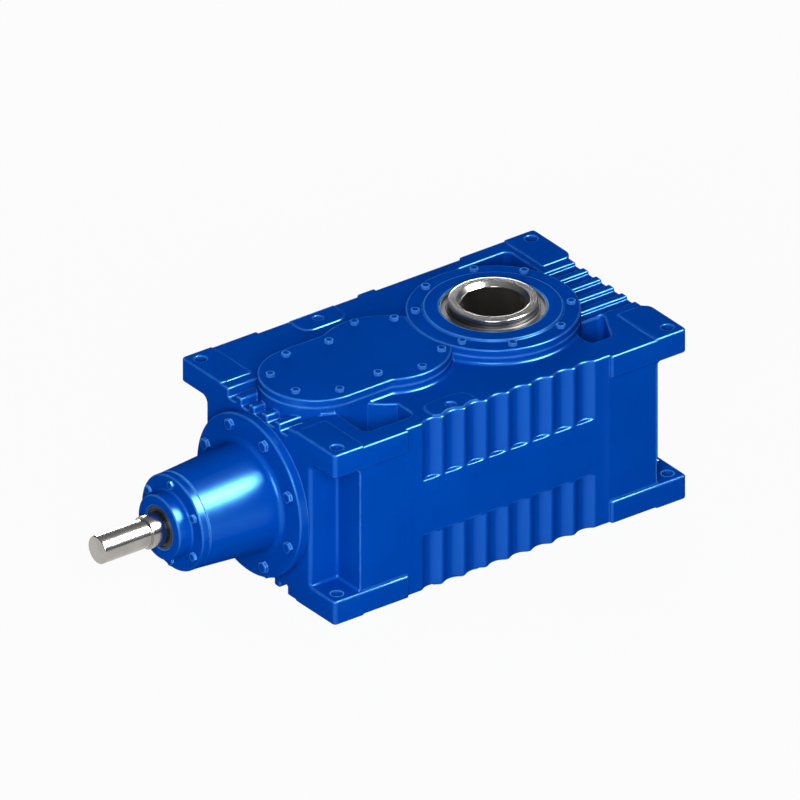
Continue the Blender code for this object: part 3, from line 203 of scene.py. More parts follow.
def finish(name, dark, light, colour_mm, rough, rough_mm, bumps, edge_highlight=None, glance=None, **sockets):
    """A Principled material of two shades with a range of roughness and bumps as (size, depth) in mm.

    edge_highlight is the colour of the painted highlight along its edges. With glance, the
    specular level falls from the first value to the second on slanting faces.
    """
    material = bpy.data.materials.new(name)
    material.use_nodes = True
    tree = material.node_tree
    shader = tree.nodes["Principled BSDF"]
    for socket, value in sockets.items():
        shader.inputs[socket.replace("_", " ")].default_value = value
    place = [(add(tree, "ShaderNodeTexCoord"), "Object", "Vector")]
    patches = add(tree, "ShaderNodeTexNoise", place, Scale=per_mm(colour_mm), Detail=3)
    ramp = add(tree, "ShaderNodeValToRGB", [(patches, 0, "Fac")])
    for stop, position, code in zip(ramp.color_ramp.elements, SHADE_STOPS, (dark, light)):
        stop.position = position
        stop.color = linear(code)
    # edges get the painted highlight colour
    colour = paint_edge_highlights(tree, place, ramp, edge_highlight) if edge_highlight else ramp
    tree.links.new(colour.outputs[0], shader.inputs["Base Color"])
    grain = add(tree, "ShaderNodeTexNoise", place, Scale=per_mm(rough_mm), Detail=2)
    gloss = add(
        tree, "ShaderNodeMapRange", [(grain, 0, "Value")],
        To_Min=rough[0], To_Max=rough[1], **GRAIN_RANGE,
    )
    tree.links.new(gloss.outputs[0], shader.inputs["Roughness"])
    if glance:
        slant = add(tree, "ShaderNodeLayerWeight", Blend=0.5)
        level = add(
            tree, "ShaderNodeMapRange", [(slant, "Facing", "Value")],
            To_Min=glance[0], To_Max=glance[1], **SLANT_RANGE,
        )
        tree.links.new(level.outputs[0], shader.inputs["Specular IOR Level"])
    last = None
    for size, depth in bumps:
        height = add(tree, "ShaderNodeTexNoise", place, Scale=per_mm(size), Detail=2)
        links = [(height, 0, "Height")] + ([(last, 0, "Normal")] if last else [])
        last = add(tree, "ShaderNodeBump", links, Strength=0.5, Distance=depth * MM)
    tree.links.new(last.outputs[0], shader.inputs["Normal"])
    return material


# %% [markdown]
# The casting and covers are grey iron under machine enamel: a saturated semi-gloss blue whose
# sprayed skin is slightly uneven, over the broad waves of the sand mould. The shafts are ground
# and polished, the gears are milled, and the seals are moulded nitrile rubber. Grinding, milling
# and moulding marks are finer than a pixel, so they are drawn about 1 mm wide to show at all.

# %% The four finishes
MATERIALS = {
    # Deep blue that breaks into light blue where a rounded rim faces the lamp. Its edges also carry
    # a painted pale-blue highlight. Its highlights are tinted, so the IOR is above enamel's usual 1.5
    # to keep them as bright.
    "blue_paint": finish(
        "blue_machine_enamel", "0040A0", "0044A8", 90, (0.28, 0.33), 14, [(18, 0.06), (5, 0.008)],
        # 58A8F4 is the pale blue of the painted edge highlight
        edge_highlight="58A8F4", glance=(0.5, 0.0),
        Specular_IOR_Level=0.3, IOR=1.8, Specular_Tint=(0.12, 0.55, 1.0, 1),
    ),
    # Nearly a mirror, so the eye sees the floor and the lamps in bright and dark bands.
    "polished_steel": finish(
        "polished_ground_steel", "9E9B96", "B0ADA9", 30, (0.16, 0.24), 0.8, [(1.0, 0.003)],
        Metallic=1.0,
    ),
    # Cutter marks scatter the light, which makes the gears duller and a little bluer.
    "gear_steel": finish(
        "milled_gear_steel", "8C8D90", "A8A8AA", 25, (0.28, 0.42), 1.2, [(1.2, 0.008)],
        Metallic=1.0,
    ),
    # Black and soft to look at, with a broad faint sheen and no clear reflection.
    "seal_rubber": finish(
        "moulded_nitrile_rubber", "17181D", "24262F", 12, (0.42, 0.58), 0.9, [(0.9, 0.02)],
    ),
}
for entry in frame["record"]["subparts"]:
    carried = nodes[entry["node"]].data.materials
    carried.clear()
    carried.append(MATERIALS[entry["material_slot"]])
print("materials:", sorted(MATERIALS))

# %% [markdown]
# ## The main casting
# The housing is one iron casting. A foundry pattern is glued up from blocks, and so is this one: a
# block with rounded edges, four corner pads above and four below, and thicker strips along the
# long sides. It could also be pulled out of one box by extruding faces, but then every fillet
# would depend on the faces next to it. Boolean unions keep the blocks independent. Faces that
# would lie in one plane are kept a crease of 0.03 mm apart, because coincident faces are where
# Booleans go wrong.

# %% Rounded boxes
def rounded_box(low, high, radius, steps=4):
    """A block with all its edges rounded."""
    shape = bmesh.new()
    bmesh.ops.create_cube(shape, size=1)
    size = [b - a for a, b in zip(low, high)]
    bmesh.ops.translate(shape, verts=shape.verts, vec=(0.5, 0.5, 0.5))
    bmesh.ops.scale(shape, verts=shape.verts, vec=size)
    bmesh.ops.translate(shape, verts=shape.verts, vec=low)
    bmesh.ops.bevel(
        shape, geom=shape.edges[:], offset=radius, segments=steps, profile=0.5,
        affect="EDGES", material=-1,
    )
    return shape


def merged(shapes):
    """Several shapes that stand apart, as one."""
    whole = bmesh.new()
    for shape in shapes:
        mesh = bpy.data.meshes.new("share")
        shape.to_mesh(mesh)
        shape.free()
        whole.from_mesh(mesh)
        bpy.data.meshes.remove(mesh)
    return whole


def piece(name, shape):
    """An object at the origin whose mesh lies, in metres, where the casting's frame puts it."""
    bmesh.ops.scale(shape, verts=shape.verts, vec=(MM, MM, MM))
    bmesh.ops.translate(shape, verts=shape.verts, vec=(ORIGIN, 0, 0))
    mesh = bpy.data.meshes.new(name)
    shape.to_mesh(mesh)
    shape.free()
    made = bpy.data.objects.new(name, mesh)
    bpy.context.scene.collection.objects.link(made)
    return made


# %% Booleans, with a check after each
def combine(target, shapes, operation):
    """Joins shapes to a piece or cuts them out, and keeps the result as the piece's mesh."""
    tool = piece("tool", merged(shapes))
    step = target.modifiers.new("step", "BOOLEAN")
    step.operation = operation
    step.solver = "MANIFOLD"
    step.object = tool
    graph = bpy.context.evaluated_depsgraph_get()
    result = bpy.data.meshes.new_from_object(target.evaluated_get(graph))
    target.modifiers.clear()
    old = target.data
    target.data = result
    bpy.data.meshes.remove(old)
    bpy.data.objects.remove(tool)


def cut(target, *shapes):
    combine(target, shapes, "DIFFERENCE")


def join(target, *shapes):
    combine(target, shapes, "UNION")


def report(title, made):
    """Prints a piece's volume in litres, which shows at once when a Boolean has failed."""
    shape = bmesh.new()
    shape.from_mesh(made.data)
    open_edges = sum(not edge.is_manifold for edge in shape.edges)
    litres = shape.calc_volume() / 0.001
    print(f"{title}: {litres:.3f} litres, {len(shape.faces)} faces, {open_edges} open edges")
    shape.free()


# %% Outlines with rounded corners
def filleted(points, radii, steps=5, closed=True):
    """The same polyline with its corners rounded; radii is one number or one for each corner."""
    if not isinstance(radii, (list, tuple)):
        radii = [radii] * len(points)
    made = []
    for k, (point, radius) in enumerate(zip(points, radii)):
        here = Vector(point)
        end = not closed and k in (0, len(points) - 1)
        before = Vector(points[k - 1]) - here
        after = Vector(points[(k + 1) % len(points)]) - here
        if radius == 0 or end:
            made.append(tuple(here))
            continue
        half = before.angle(after) / 2
        reach = min(radius / math.tan(half), 0.49 * before.length, 0.49 * after.length)
        inward = (before.normalized() + after.normalized()).normalized()
        centre = here + inward * reach / math.cos(half)
        first = here + before.normalized() * reach - centre
        turn = first.angle_signed(here + after.normalized() * reach - centre)
        for step in range(steps + 1):
            spoke = first.copy()
            spoke.rotate(Matrix.Rotation(-turn * step / steps, 2))
            made.append(tuple(centre + spoke))
    return made


def offset(outline, distance):
    """An anticlockwise outline moved outward, or inward where distance is negative."""
    moved = []
    for k, point in enumerate(outline):
        here = Vector(point)
        into = (here - Vector(outline[k - 1])).normalized()
        out = (Vector(outline[(k + 1) % len(outline)]) - here).normalized()
        normal = Vector((into.y, -into.x)) + Vector((out.y, -out.x))
        moved.append(tuple(here + normal * distance / max(normal.length_squared / 2, 0.35)))
    return moved


# %% Lofts through rings
ORDER = {"x": lambda a, b, c: (c, a, b), "z": lambda a, b, c: (a, b, c)}


def lofted(rings):
    """A closed solid through rings of points, extruded from ring to ring."""
    shape = bmesh.new()
    number = shape.verts.layers.int.new("number")
    corners = [shape.verts.new(point) for point in rings[0]]
    for k, corner in enumerate(corners):
        corner[number] = k
    edges = [shape.edges.new(pair) for pair in zip(corners, corners[1:] + corners[:1])]
    bmesh.ops.contextual_create(shape, geom=edges)
    for ring in rings[1:]:
        made = bmesh.ops.extrude_edge_only(shape, edges=edges)["geom"]
        edges = [item for item in made if isinstance(item, bmesh.types.BMEdge)]
        for item in made:
            if isinstance(item, bmesh.types.BMVert):
                item.co = ring[item[number]]
    bmesh.ops.contextual_create(shape, geom=edges)
    bmesh.ops.recalc_face_normals(shape, faces=shape.faces)
    return shape


def stacked(outline, steps, axis="z"):
    """A solid through (offset, place) rings of one outline along an axis."""
    order = ORDER[axis]
    rings = []
    for distance, place in steps:
        rings.append([order(*point, place) for point in offset(outline, distance)])
    return lofted(rings)


# %% Rings that round an edge
def quarter(steps=4):
    """Sine and cosine along a quarter turn."""
    turns = [math.pi / 2 * k / steps for k in range(steps + 1)]
    return [(math.sin(turn), math.cos(turn)) for turn in turns]


def flared(radius, top, steps=4):
    """Rings of a tool that rounds the rim it leaves at the height top."""
    return [(radius - radius * c, top - radius + radius * s) for s, c in quarter(steps)]


def dished(radius, floor, steps=4):
    """Rings of a tool that leaves a fillet around its floor."""
    return [(-radius + radius * s, floor + radius - radius * c) for s, c in quarter(steps)]


def rounded_top(radius, top, steps=4):
    """Rings of a solid whose top edge is rounded."""
    return [(-radius + radius * c, top - radius + radius * s) for s, c in quarter(steps)]


def slab(x, y, z, corners, edge):
    """A block with its own radius for each upright edge, and all other edges rounded alike."""
    outline = filleted([(x[0], y[0]), (x[1], y[0]), (x[1], y[1]), (x[0], y[1])], corners, 6)
    top = rounded_top(edge, z[1])
    return stacked(outline, [(d, z[0] + z[1] - h) for d, h in top[::-1]] + top)


# %% Block, pads and strips
EDGE = 2.6
CREASE = 0.03
PAD_LENGTH = 44
PAD_WIDTH = 76
STRIP = 108
OUTER_CORNER, FAR_CORNER, PLAIN_CORNER = 5.0, 12.0, 3.0
SHOULDER = [(1.3, -1.5), (1.3, 0.02), (0.9, 0.12), (0.45, 0.45), (0.1, 0.95)]  # a pad's foot
INSET = 7  # keeps that fillet away from the casting's outside


def upside_down(rings):
    return [(d, HEIGHT - h) for d, h in rings]


def corner_radii(side, far):
    """Radii at the corners of a slab, anticlockwise from the lowest x and y."""
    radii = {(far, side): OUTER_CORNER, (far, -side): FAR_CORNER if far > 0 else PLAIN_CORNER}
    return [radii.get(corner, PLAIN_CORNER) for corner in ((-1, -1), (1, -1), (1, 1), (-1, 1))]


pads = []
strips = []
shoulders = []
fillet = [(d, PLAIN_TOP + h) for d, h in SHOULDER]
for side in (1, -1):
    pad_y = sorted((side * SIDE, side * (SIDE - PAD_WIDTH)))
    strip_y = sorted((side * (SIDE - CREASE), side * (WALL - 9)))
    inner_y = sorted((side * (SIDE - INSET), side * (SIDE - PAD_WIDTH)))
    far_pad, far_strip = LENGTH - PAD_LENGTH, LENGTH - STRIP
    for far, pad_x, strip_x, inner_x in (
        (-1, (-CREASE, PAD_LENGTH), (CREASE, STRIP), (INSET, PAD_LENGTH)),
        (1, (far_pad, LENGTH), (far_strip, LENGTH - CREASE), (far_pad, LENGTH - INSET)),
    ):
        radii = corner_radii(side, far)
        for pad_z, strip_z in (
            ((0, FOOT - CREASE), (PAD_RISE + CREASE, FOOT)),
            ((HEAD + CREASE, HEIGHT), (HEAD, PLAIN_TOP - CREASE)),
        ):
            pads.append(slab(pad_x, pad_y, pad_z, radii, EDGE))
            strips.append(slab(strip_x, strip_y, strip_z, radii, EDGE))
        (left, right), (low, high) = inner_x, inner_y
        outline = filleted([(left, low), (right, low), (right, high), (left, high)], PLAIN_CORNER, 6)
        shoulders += [stacked(outline, fillet), stacked(outline, upside_down(fillet))]
block = rounded_box((0, -WALL, PAD_RISE), (FAR_FACE, WALL, PLAIN_TOP), EDGE)
housing = piece("housing_casting", block)
join(housing, *strips)
join(housing, *pads)
join(housing, *shoulders)
report("block with pads", housing)

# %% [markdown]
# ## Corner notches
# At each corner the casting steps back between foot and head, so that a spanner reaches the foot
# bolts. A notch opens to the end and to the side. It is cut twice, once from each, by a tool with
# a flared mouth and a rounded floor: the flare leaves a rounded rim, the floor leaves a fillet.
# The tools are outlines that are extruded ring by ring, each ring a little wider or narrower.

# %% Cut the notches
NOTCH_X, NOTCH_Y = 40.0, 47.25
FLOOR_FILLET = 3.7
HEAD_FILLET = 9.7
RIM, END_RIM = 2.5, 5.0
OPEN = 30  # how far a tool runs out of the casting


def swell(radius, away):
    """How far a quarter round of this radius stands out, at a distance from where it is widest."""
    left = radius - min(max(away, 0), radius)
    return radius - math.sqrt(radius ** 2 - left ** 2)


def notch_tool(inner, outer, depth, rim, place):
    """A notch between foot and head, from its mouth at 0 to its floor.

    place turns a place along the face, a height and a depth into a point.
    """
    away = -1 if outer > inner else 1
    mouth = [-8, 0, 0.2, 0.6, 1.2, 1.9, 2.5, 3.6, 5]
    floor = [9.7, 7.6, 5.6, 3.7, 2.5, 1.5, 0.7, 0.2, 0]
    rings = []
    for deep in mouth + [depth - h for h in floor]:
        wall = inner + away * (swell(rim, deep) - swell(FLOOR_FILLET, depth - deep))
        low = FOOT - 2 * CREASE - swell(RIM, deep) + swell(FLOOR_FILLET, depth - deep)
        high = HEAD + 2 * CREASE + swell(RIM, deep) - swell(HEAD_FILLET, depth - deep)
        corners = [(wall, low), (outer, low), (outer, high), (wall, high)]
        outline = filleted(corners, [FLOOR_FILLET + 0.3, 2, 2, HEAD_FILLET + 0.3], 6)
        rings.append([place(u, z, deep) for u, z in outline])
    return lofted(rings)


from_end = []
from_side = []
for side in (1, -1):
    for sign, start in ((1, 0), (-1, LENGTH)):
        from_end.append(notch_tool(
            side * (SIDE - NOTCH_Y), side * (SIDE + OPEN), NOTCH_X, END_RIM,
            lambda u, z, deep: (start + sign * deep, u, z),
        ))
        from_side.append(notch_tool(
            start + sign * NOTCH_X, start - sign * OPEN, NOTCH_Y, RIM,
            lambda u, z, deep: (u, side * (SIDE - deep), z),
        ))
cut(housing, *from_end)
report("notched from the ends", housing)
cut(housing, *from_side)
report("notched from the sides", housing)

# %% [markdown]
# ## Fluted walls
# The long walls carry two rows of shallow upright flutes, which stiffen and cool them. Sixteen
# cylinders could be cut out of each wall, but their ends would be sharp. A wall like this is also
# a height field: one grid whose points are pushed in by a depth that depends on their place. Its
# rim is extruded outwards and closed, and the result is a tool that carves all flutes of a wall
# at once, their ledges and the rounded edges above and below included.

# %% How deep the wall lies at a place
FLUTES = 8
FLUTE_DEPTH = 5.0
FLUTE_START = STRIP + 19.5
FLUTE_PITCH = (LENGTH - 2 * FLUTE_START) / FLUTES
FLUTE_HALF = (FLUTE_PITCH - 4.9) / 2
FLUTE_RADIUS = (FLUTE_HALF ** 2 + FLUTE_DEPTH ** 2) / (2 * FLUTE_DEPTH)
UPPER_LEDGE = HEIGHT - 77.5
LOWER_LEDGE = 73.0
LEDGE_SOFT = 1.3  # half of the height over which a flute runs out
LAND_SOFT = 1.5
WALL_START = STRIP + 0.6
SHAVE = 0.12
BACK_RIM = 12.0  # the back wall's flutes stop this far from its rims


def smooth_step(value):
    """From 0 to 1 without a kink at either end."""
    value = min(max(value, 0), 1)
    return value * value * (3 - 2 * value)


def across_flute(x):
    """Depth of the flutes at a place along the wall, with rounded lands between them."""
    number = min(max(math.floor((x - FLUTE_START) / FLUTE_PITCH), 0), FLUTES - 1)
    away = min(abs(x - FLUTE_START - (number + 0.5) * FLUTE_PITCH), 0.99 * FLUTE_RADIUS)
    deep = math.sqrt(FLUTE_RADIUS ** 2 - away ** 2) - (FLUTE_RADIUS - FLUTE_DEPTH)
    mix = max(LAND_SOFT - abs(deep), 0) / LAND_SOFT
    return max(deep, 0) + mix * mix * LAND_SOFT / 4


def wall_depth(x, z, side):
    """Depth of the finished wall below its plain face, rims included."""
    upper = smooth_step((z - UPPER_LEDGE + LEDGE_SOFT) / (2 * LEDGE_SOFT))
    lower = smooth_step((LOWER_LEDGE - z + LEDGE_SOFT) / (2 * LEDGE_SOFT))
    shave = CREASE + SHAVE * smooth_step((min(x, LENGTH - x) - WALL_START) / 8)
    row = max(upper, lower)
    if side > 0:  # the back wall
        within = min(HEIGHT - BACK_RIM - z, z - BACK_RIM)
        row *= smooth_step((within + LEDGE_SOFT) / (2 * LEDGE_SOFT))
    depth = shave + across_flute(x) * row
    into = min(max(z - (PLAIN_TOP - EDGE), PAD_RISE + EDGE - z, 0), EDGE)
    return depth + EDGE - math.sqrt(EDGE ** 2 - into ** 2)


# %% A tool for a whole wall
def wall_tool(side):
    """A block outside the wall whose inner face is the height field."""
    within = (0, 3, 6, 9, 10.8, 12, 12.8, 13.4, 14.1, 15)
    ends = [WALL_START + step for step in (0, 2, 4, 8, 13)]
    columns = ends + [LENGTH - x for x in ends]
    for number in range(FLUTES):
        centre = FLUTE_START + (number + 0.5) * FLUTE_PITCH
        columns += [centre + sign * u for u in within for sign in (-1, 1)]
    columns = sorted({round(x, 4) for x in columns})
    soft = [LEDGE_SOFT * k / 4 for k in range(-4, 5)]
    rim = [EDGE * s for s, c in quarter(5)]
    rows = [-6, PAD_RISE - 0.4, 20, 40, 60, 90, 110, 130, 165, 185, 205, PLAIN_TOP + 0.4, HEIGHT + 8]
    ledges = (LOWER_LEDGE, UPPER_LEDGE, BACK_RIM, HEIGHT - BACK_RIM)
    rows += [level + z for level in ledges for z in soft]
    rows += [PAD_RISE + EDGE - z for z in rim] + [PLAIN_TOP - EDGE + z for z in rim]
    rows = sorted(rows)
    shape = bmesh.new()
    bmesh.ops.create_grid(shape, x_segments=len(columns) - 1, y_segments=len(rows) - 1, size=1)
    for point in shape.verts:
        x = columns[round((point.co.x + 1) / 2 * (len(columns) - 1))]
        z = rows[round((point.co.y + 1) / 2 * (len(rows) - 1))]
        point.co = (x, side * (WALL - wall_depth(x, z, side)), z)
    border = [edge for edge in shape.edges if edge.is_boundary]
    made = bmesh.ops.extrude_edge_only(shape, edges=border)["geom"]
    for item in made:
        if isinstance(item, bmesh.types.BMVert):
            item.co.y = side * (WALL + 20)
    mouth = [item for item in made if isinstance(item, bmesh.types.BMEdge)]
    bmesh.ops.contextual_create(shape, geom=mouth)
    bmesh.ops.recalc_face_normals(shape, faces=shape.faces)
    return shape


# %% Middle pads and carved walls
MID_PAD_X = 182.0
MID_PAD_LENGTH, MID_PAD_WIDTH = 64, 34
MID_PAD_CORNER = 15
LUG = (252, 277)  # a small lug on the back rim, from x to x
mid_pads = []
for side in (1, -1):
    low, high = sorted((side * (WALL - 1), side * (WALL - MID_PAD_WIDTH)))
    start, end = MID_PAD_X - MID_PAD_LENGTH / 2, MID_PAD_X + MID_PAD_LENGTH / 2
    radii = [0, 0, MID_PAD_CORNER, MID_PAD_CORNER]
    radii = radii if side < 0 else radii[::-1]
    outline = filleted([(start, low), (end, low), (end, high), (start, high)], radii, 6)
    rings = fillet + [(-0.3, HEIGHT - 0.2), (-0.9, HEIGHT)]
    mid_pads += [stacked(outline, rings), stacked(outline, upside_down(rings))]
join(housing, *mid_pads)
cut(housing, wall_tool(1), wall_tool(-1))
lug_low = (LUG[0], WALL - 6, PLAIN_TOP - 8)
lug_high = (LUG[1], SIDE - CREASE, PLAIN_TOP - CREASE)
join(housing, rounded_box(lug_low, lug_high, EDGE))
report("with flutes", housing)

# %% [markdown]
# ## Bosses, pockets and ribs
# A two-lobe boss and a round boss stand on top under the covers, swelling into the top face with
# a fillet. A bevel could round that foot after the union, but it would have to find its way
# around the pads and pockets, so the fillet is lofted with the boss. The pockets between them save
# metal and are cut after that, and the bosses' straight walls are put back so that they run down
# into the pockets.

# %% Outlines around the three upright shafts
FIRST_LOBE = 66.3
SECOND_LOBE = 77.0
OUTPUT_BOSS = 101.2


def arc(centre, radius, start, end, steps):
    """Points on a circle, from one angle to another, in degrees."""
    angles = [math.radians(start + (end - start) * k / steps) for k in range(steps + 1)]
    return [(centre[0] + radius * math.cos(a), centre[1] + radius * math.sin(a)) for a in angles]


def circle(centre, radius, steps):
    return arc(centre, radius, 0, 360, steps)[:-1]


def lobes(first, second, third):
    """The path around the first two shafts, from one crossing with the output circle to the other."""
    apart = OUTPUT_X - SECOND_X
    leave = math.degrees(math.acos((apart ** 2 + second ** 2 - third ** 2) / (2 * apart * second)))
    path = arc((SECOND_X, 0), second, leave, 180 - math.degrees(math.asin(first / second)), 20)
    path += arc((FIRST_X, 0), first, 90, 270, 48)
    return path + [(x, -y) for x, y in path[20::-1]]


def output_arc(second, third, steps, hollow):
    """The output circle's share of that outline, bulging out or, when hollow, cut in."""
    apart = OUTPUT_X - SECOND_X
    meet = math.degrees(math.acos((apart ** 2 + third ** 2 - second ** 2) / (2 * apart * third)))
    if hollow:
        return arc((OUTPUT_X, 0), third, 180 + meet, 180 - meet, steps)[1:-1]
    return arc((OUTPUT_X, 0), third, meet - 180, 180 - meet, steps)[1:-1]


def lobe_outline(third):
    return lobes(FIRST_LOBE, SECOND_LOBE, third) + output_arc(SECOND_LOBE, third, 24, True)


# %% Bosses with swollen feet
BOSS_FILLET = 4.0
CLOSE = 0.2  # the joint under a cover is nearly closed
swollen = [(BOSS_FILLET * (1 - s), PLAIN_TOP + BOSS_FILLET * (1 - c)) for s, c in quarter(5)]
swollen = [(BOSS_FILLET, PLAIN_TOP - 6)] + swollen + [(0, BOSS_TOP + CLOSE)]
under_cover = lobe_outline(OUTPUT_BOSS - 10)
round_boss = circle((OUTPUT_X, 0), OUTPUT_BOSS, 128)
join(housing, stacked(under_cover, swollen))
join(housing, stacked(round_boss, swollen))
report("with bosses", housing)

# %% Pockets in the top
POCKET_FLOOR = PLAIN_TOP - 60
CLEAR = HEIGHT + 12  # where a tool has left the casting
INNER = FIRST_LOBE - 9.2
POCKET_WALL = 100.0  # the chamber's round wall that shows in the near pocket
NEAR_END = 135.0
turn_in = 180 + math.degrees(math.asin(INNER / POCKET_WALL))
turn_out = 180 + math.degrees(math.acos((SECOND_X - NEAR_END) / POCKET_WALL))
round_wall = arc((SECOND_X, 0), POCKET_WALL, turn_out, turn_in, 10)
outer = WALL - 23
near = [(65, -outer), (NEAR_END, -outer)] + round_wall + [(65, -INNER)]
near = filleted(near, [9, 9] + [0] * (len(round_wall) + 1), 6)
left, right = OUTPUT_X + 60, LENGTH - 53
outer = WALL - 36
front = [(left, -outer), (right - 26, -outer), (right, -INNER), (left, -INNER)]
front = filleted(front, [8, 8, 6, 0], 6)
left, outer = OUTPUT_X + 39, WALL - 17
back = [(left, INNER), (right, INNER), (right, outer), (left, outer)]
back = filleted(back, [0, 6, 8, 8], 6)
POCKET_RIM = 2.2
rings = dished(5, POCKET_FLOOR, 5) + flared(POCKET_RIM, PLAIN_TOP) + [(POCKET_RIM, CLEAR)]
cut(housing, *[stacked(outline, rings) for outline in (near, front, back)])
report("with pockets", housing)

# %% Ribs in a recess at the input end, above and below
RIBS = (-37.05, -12.35, 12.35, 37.05)
HALF_RIB = 5.25
RECESS = 57.0  # half of the recess's width
RECESS_FLOOR, RIB_TOP = PLAIN_TOP - 12, PLAIN_TOP - 2.5
RECESS_RIM, END_EDGE = 2, 1.5
line = [(-RECESS, RECESS_FLOOR)]
for y in RIBS:
    line += [(y - HALF_RIB, RECESS_FLOOR), (y - HALF_RIB, RIB_TOP)]
    line += [(y + HALF_RIB, RIB_TOP), (y + HALF_RIB, RECESS_FLOOR)]
rim = [(RECESS + d, h) for d, h in flared(RECESS_RIM, PLAIN_TOP)]
line += [(RECESS, RECESS_FLOOR), rim[0]]
line = filleted([(-RECESS, rim[0][1])] + line, 2.6, 4, closed=False)
line += rim[1:] + [(RECESS + RECESS_RIM, CLEAR), (-RECESS - RECESS_RIM, CLEAR)]
line += [(-y, z) for y, z in rim[:0:-1]]
rings = [(END_EDGE, -6)] + upside_down(flared(END_EDGE, HEIGHT)[::-1]) + [(0, 48)]
upper = stacked(line, rings, "x")
lower = upper.copy()
flip = Matrix.Translation((0, 0, HEIGHT)) @ Matrix.Diagonal((1, 1, -1, 1))
bmesh.ops.transform(lower, matrix=flip, verts=lower.verts)
bmesh.ops.reverse_faces(lower, faces=lower.faces)
cut(housing, upper, lower)
report("with ribs at the input end", housing)

# %% Grooves at the far end
GROOVE = 4.5
RIB_EDGE = 2.0
edges = [-RECESS] + [y + sign * HALF_RIB for y in RIBS for sign in (-1, 1)] + [RECESS]
grooves = []
for low, high in zip(edges[::2], edges[1::2]):
    rim = flared(RIB_EDGE, PLAIN_TOP)
    start, floor = rim[0][1], PLAIN_TOP - GROOVE
    outline = [(low, start), (low, floor), (high, floor), (high, start)]
    outline = filleted(outline, 2.4, 5, closed=False)
    outline += [(high + d, h) for d, h in rim[1:]]
    outline += [(high + RIB_EDGE, CLEAR), (low - RIB_EDGE, CLEAR)]
    outline += [(low - d, h) for d, h in rim[:0:-1]]
    rings = [(0, OUTPUT_X), (0, FAR_FACE - 4)] + [(d, FAR_FACE - PLAIN_TOP + h) for d, h in rim]
    grooves.append(stacked(outline, rings + [(RIB_EDGE, LENGTH + 10)], "x"))
cut(housing, *grooves)
report("with grooves at the far end", housing)

# %% Straight walls of the bosses, down into the pockets
ROOT = PLAIN_TOP - 62
straight = [(-0.08, ROOT), (-0.08, BOSS_TOP)]
join(housing, stacked(under_cover, straight))
join(housing, stacked(round_boss, straight))
report("with the bosses' walls", housing)

# %% [markdown]
# ## Inside the casting
# The gear chamber, the bores and the bolt holes follow the CAD, so that the gears turn freely in
# the dressed model too. Round tools are profiles that are spun, as on a lathe.

# %% Chambers and bores
CHAMBER = (52.44, 84.03, 121.52)
FLOOR = 16.0
SPLIT = 119.45
CEILING = PLAIN_TOP - 26


def spun(profile, centre, along_x=False, segments=96):
    """A profile of (radius, height) points turned about z, or about x for the input side."""
    shape = bmesh.new()
    points = [shape.verts.new((radius, 0, height)) for radius, height in profile]
    lines = [shape.edges.new(pair) for pair in zip(points, points[1:])]
    if profile[0][0] > 0:
        lines.append(shape.edges.new((points[-1], points[0])))
    bmesh.ops.spin(
        shape, geom=points + lines, cent=(0, 0, 0), axis=(0, 0, 1), angle=2 * math.pi,
        steps=segments, use_merge=True, use_duplicate=False,
    )
    bmesh.ops.remove_doubles(shape, verts=shape.verts, dist=0.0005)
    if along_x:
        bmesh.ops.transform(shape, matrix=Matrix.Rotation(math.pi / 2, 4, "Y"), verts=shape.verts)
    bmesh.ops.translate(shape, verts=shape.verts, vec=centre)
    bmesh.ops.recalc_face_normals(shape, faces=shape.faces)
    return shape


def rod(radius, low, high, place, segments=48, along_x=False):
    """A plain cylinder; along x, the place is (y, z)."""
    centre = (0, *place) if along_x else (*place, 0)
    return spun([(0, high), (radius, high), (radius, low), (0, low)], centre, along_x, segments)


def chamber(radii, low, high):
    """Room for the gears, as three circles that run into each other."""
    outline = lobes(*radii) + output_arc(*radii[1:], 72, False)
    return stacked(outline, [(0, low), (0, high)])


COVER_LEDGE = 9  # the bottom cover reaches this far past the chamber
ABOVE = HEIGHT + 30  # where a drill starts
cut(housing, chamber([radius + COVER_LEDGE for radius in CHAMBER], -8, FLOOR + 0.3))
cut(housing, chamber(CHAMBER, FLOOR - 0.5, SPLIT))
cut(housing, chamber((CHAMBER[0] - 0.3, CHAMBER[1] - 0.3, OUTPUT_BOSS - 13), SPLIT - 10, CEILING))
cut(housing, rod(60.3, -10, 60, (0, INPUT_Z), 96, True))
# place, radii of the shaft's seat and of its bearing, and the bearing's width
SHAFTS = ((FIRST_X, 15, 31, 16), (SECOND_X, 20, 40, 18), (OUTPUT_X, 52.5, 72.5, 20))
SEAT_TOP = BOSS_TOP - 9
for x, seat, bearing, width in SHAFTS:
    cut(housing, rod(bearing + 0.3, SEAT_TOP - width - 0.3, ABOVE, (x, 0), 96))
    cut(housing, rod((seat + bearing) / 2, CEILING - 10, ABOVE, (x, 0), 72))
report("hollowed", housing)


# %% Places of the bolts
def around(radius, angles, x=0):
    """Points on a circle at these angles, in degrees."""
    turns = [math.radians(angle) for angle in angles]
    return [(x + radius * math.cos(turn), radius * math.sin(turn)) for turn in turns]


def both(*angles):
    """Each angle to both sides of the middle plane."""
    return [sign * angle for angle in angles for sign in (1, -1)]


COVER_BOLTS = around(FIRST_LOBE - 14.5, both(93, 152), FIRST_X)
COVER_BOLTS += around(SECOND_LOBE - 11.5, both(44, 86, 134), SECOND_X)
OUTPUT_BOLTS = around(OUTPUT_BOSS - 10.8, both(30, 67.5, 112.5, 150), OUTPUT_X)
FLANGE_BOLTS = [(y, INPUT_Z + z) for y, z in around(86, [45 * k + 22.5 for k in range(8)])]
NOSE_BOLTS = [(y, INPUT_Z + z) for y, z in around(50, [60 * k + 30 for k in range(6)])]
bolt_count = sum(map(len, (COVER_BOLTS, OUTPUT_BOLTS, FLANGE_BOLTS, NOSE_BOLTS)))
print("places for", bolt_count, "bolts")

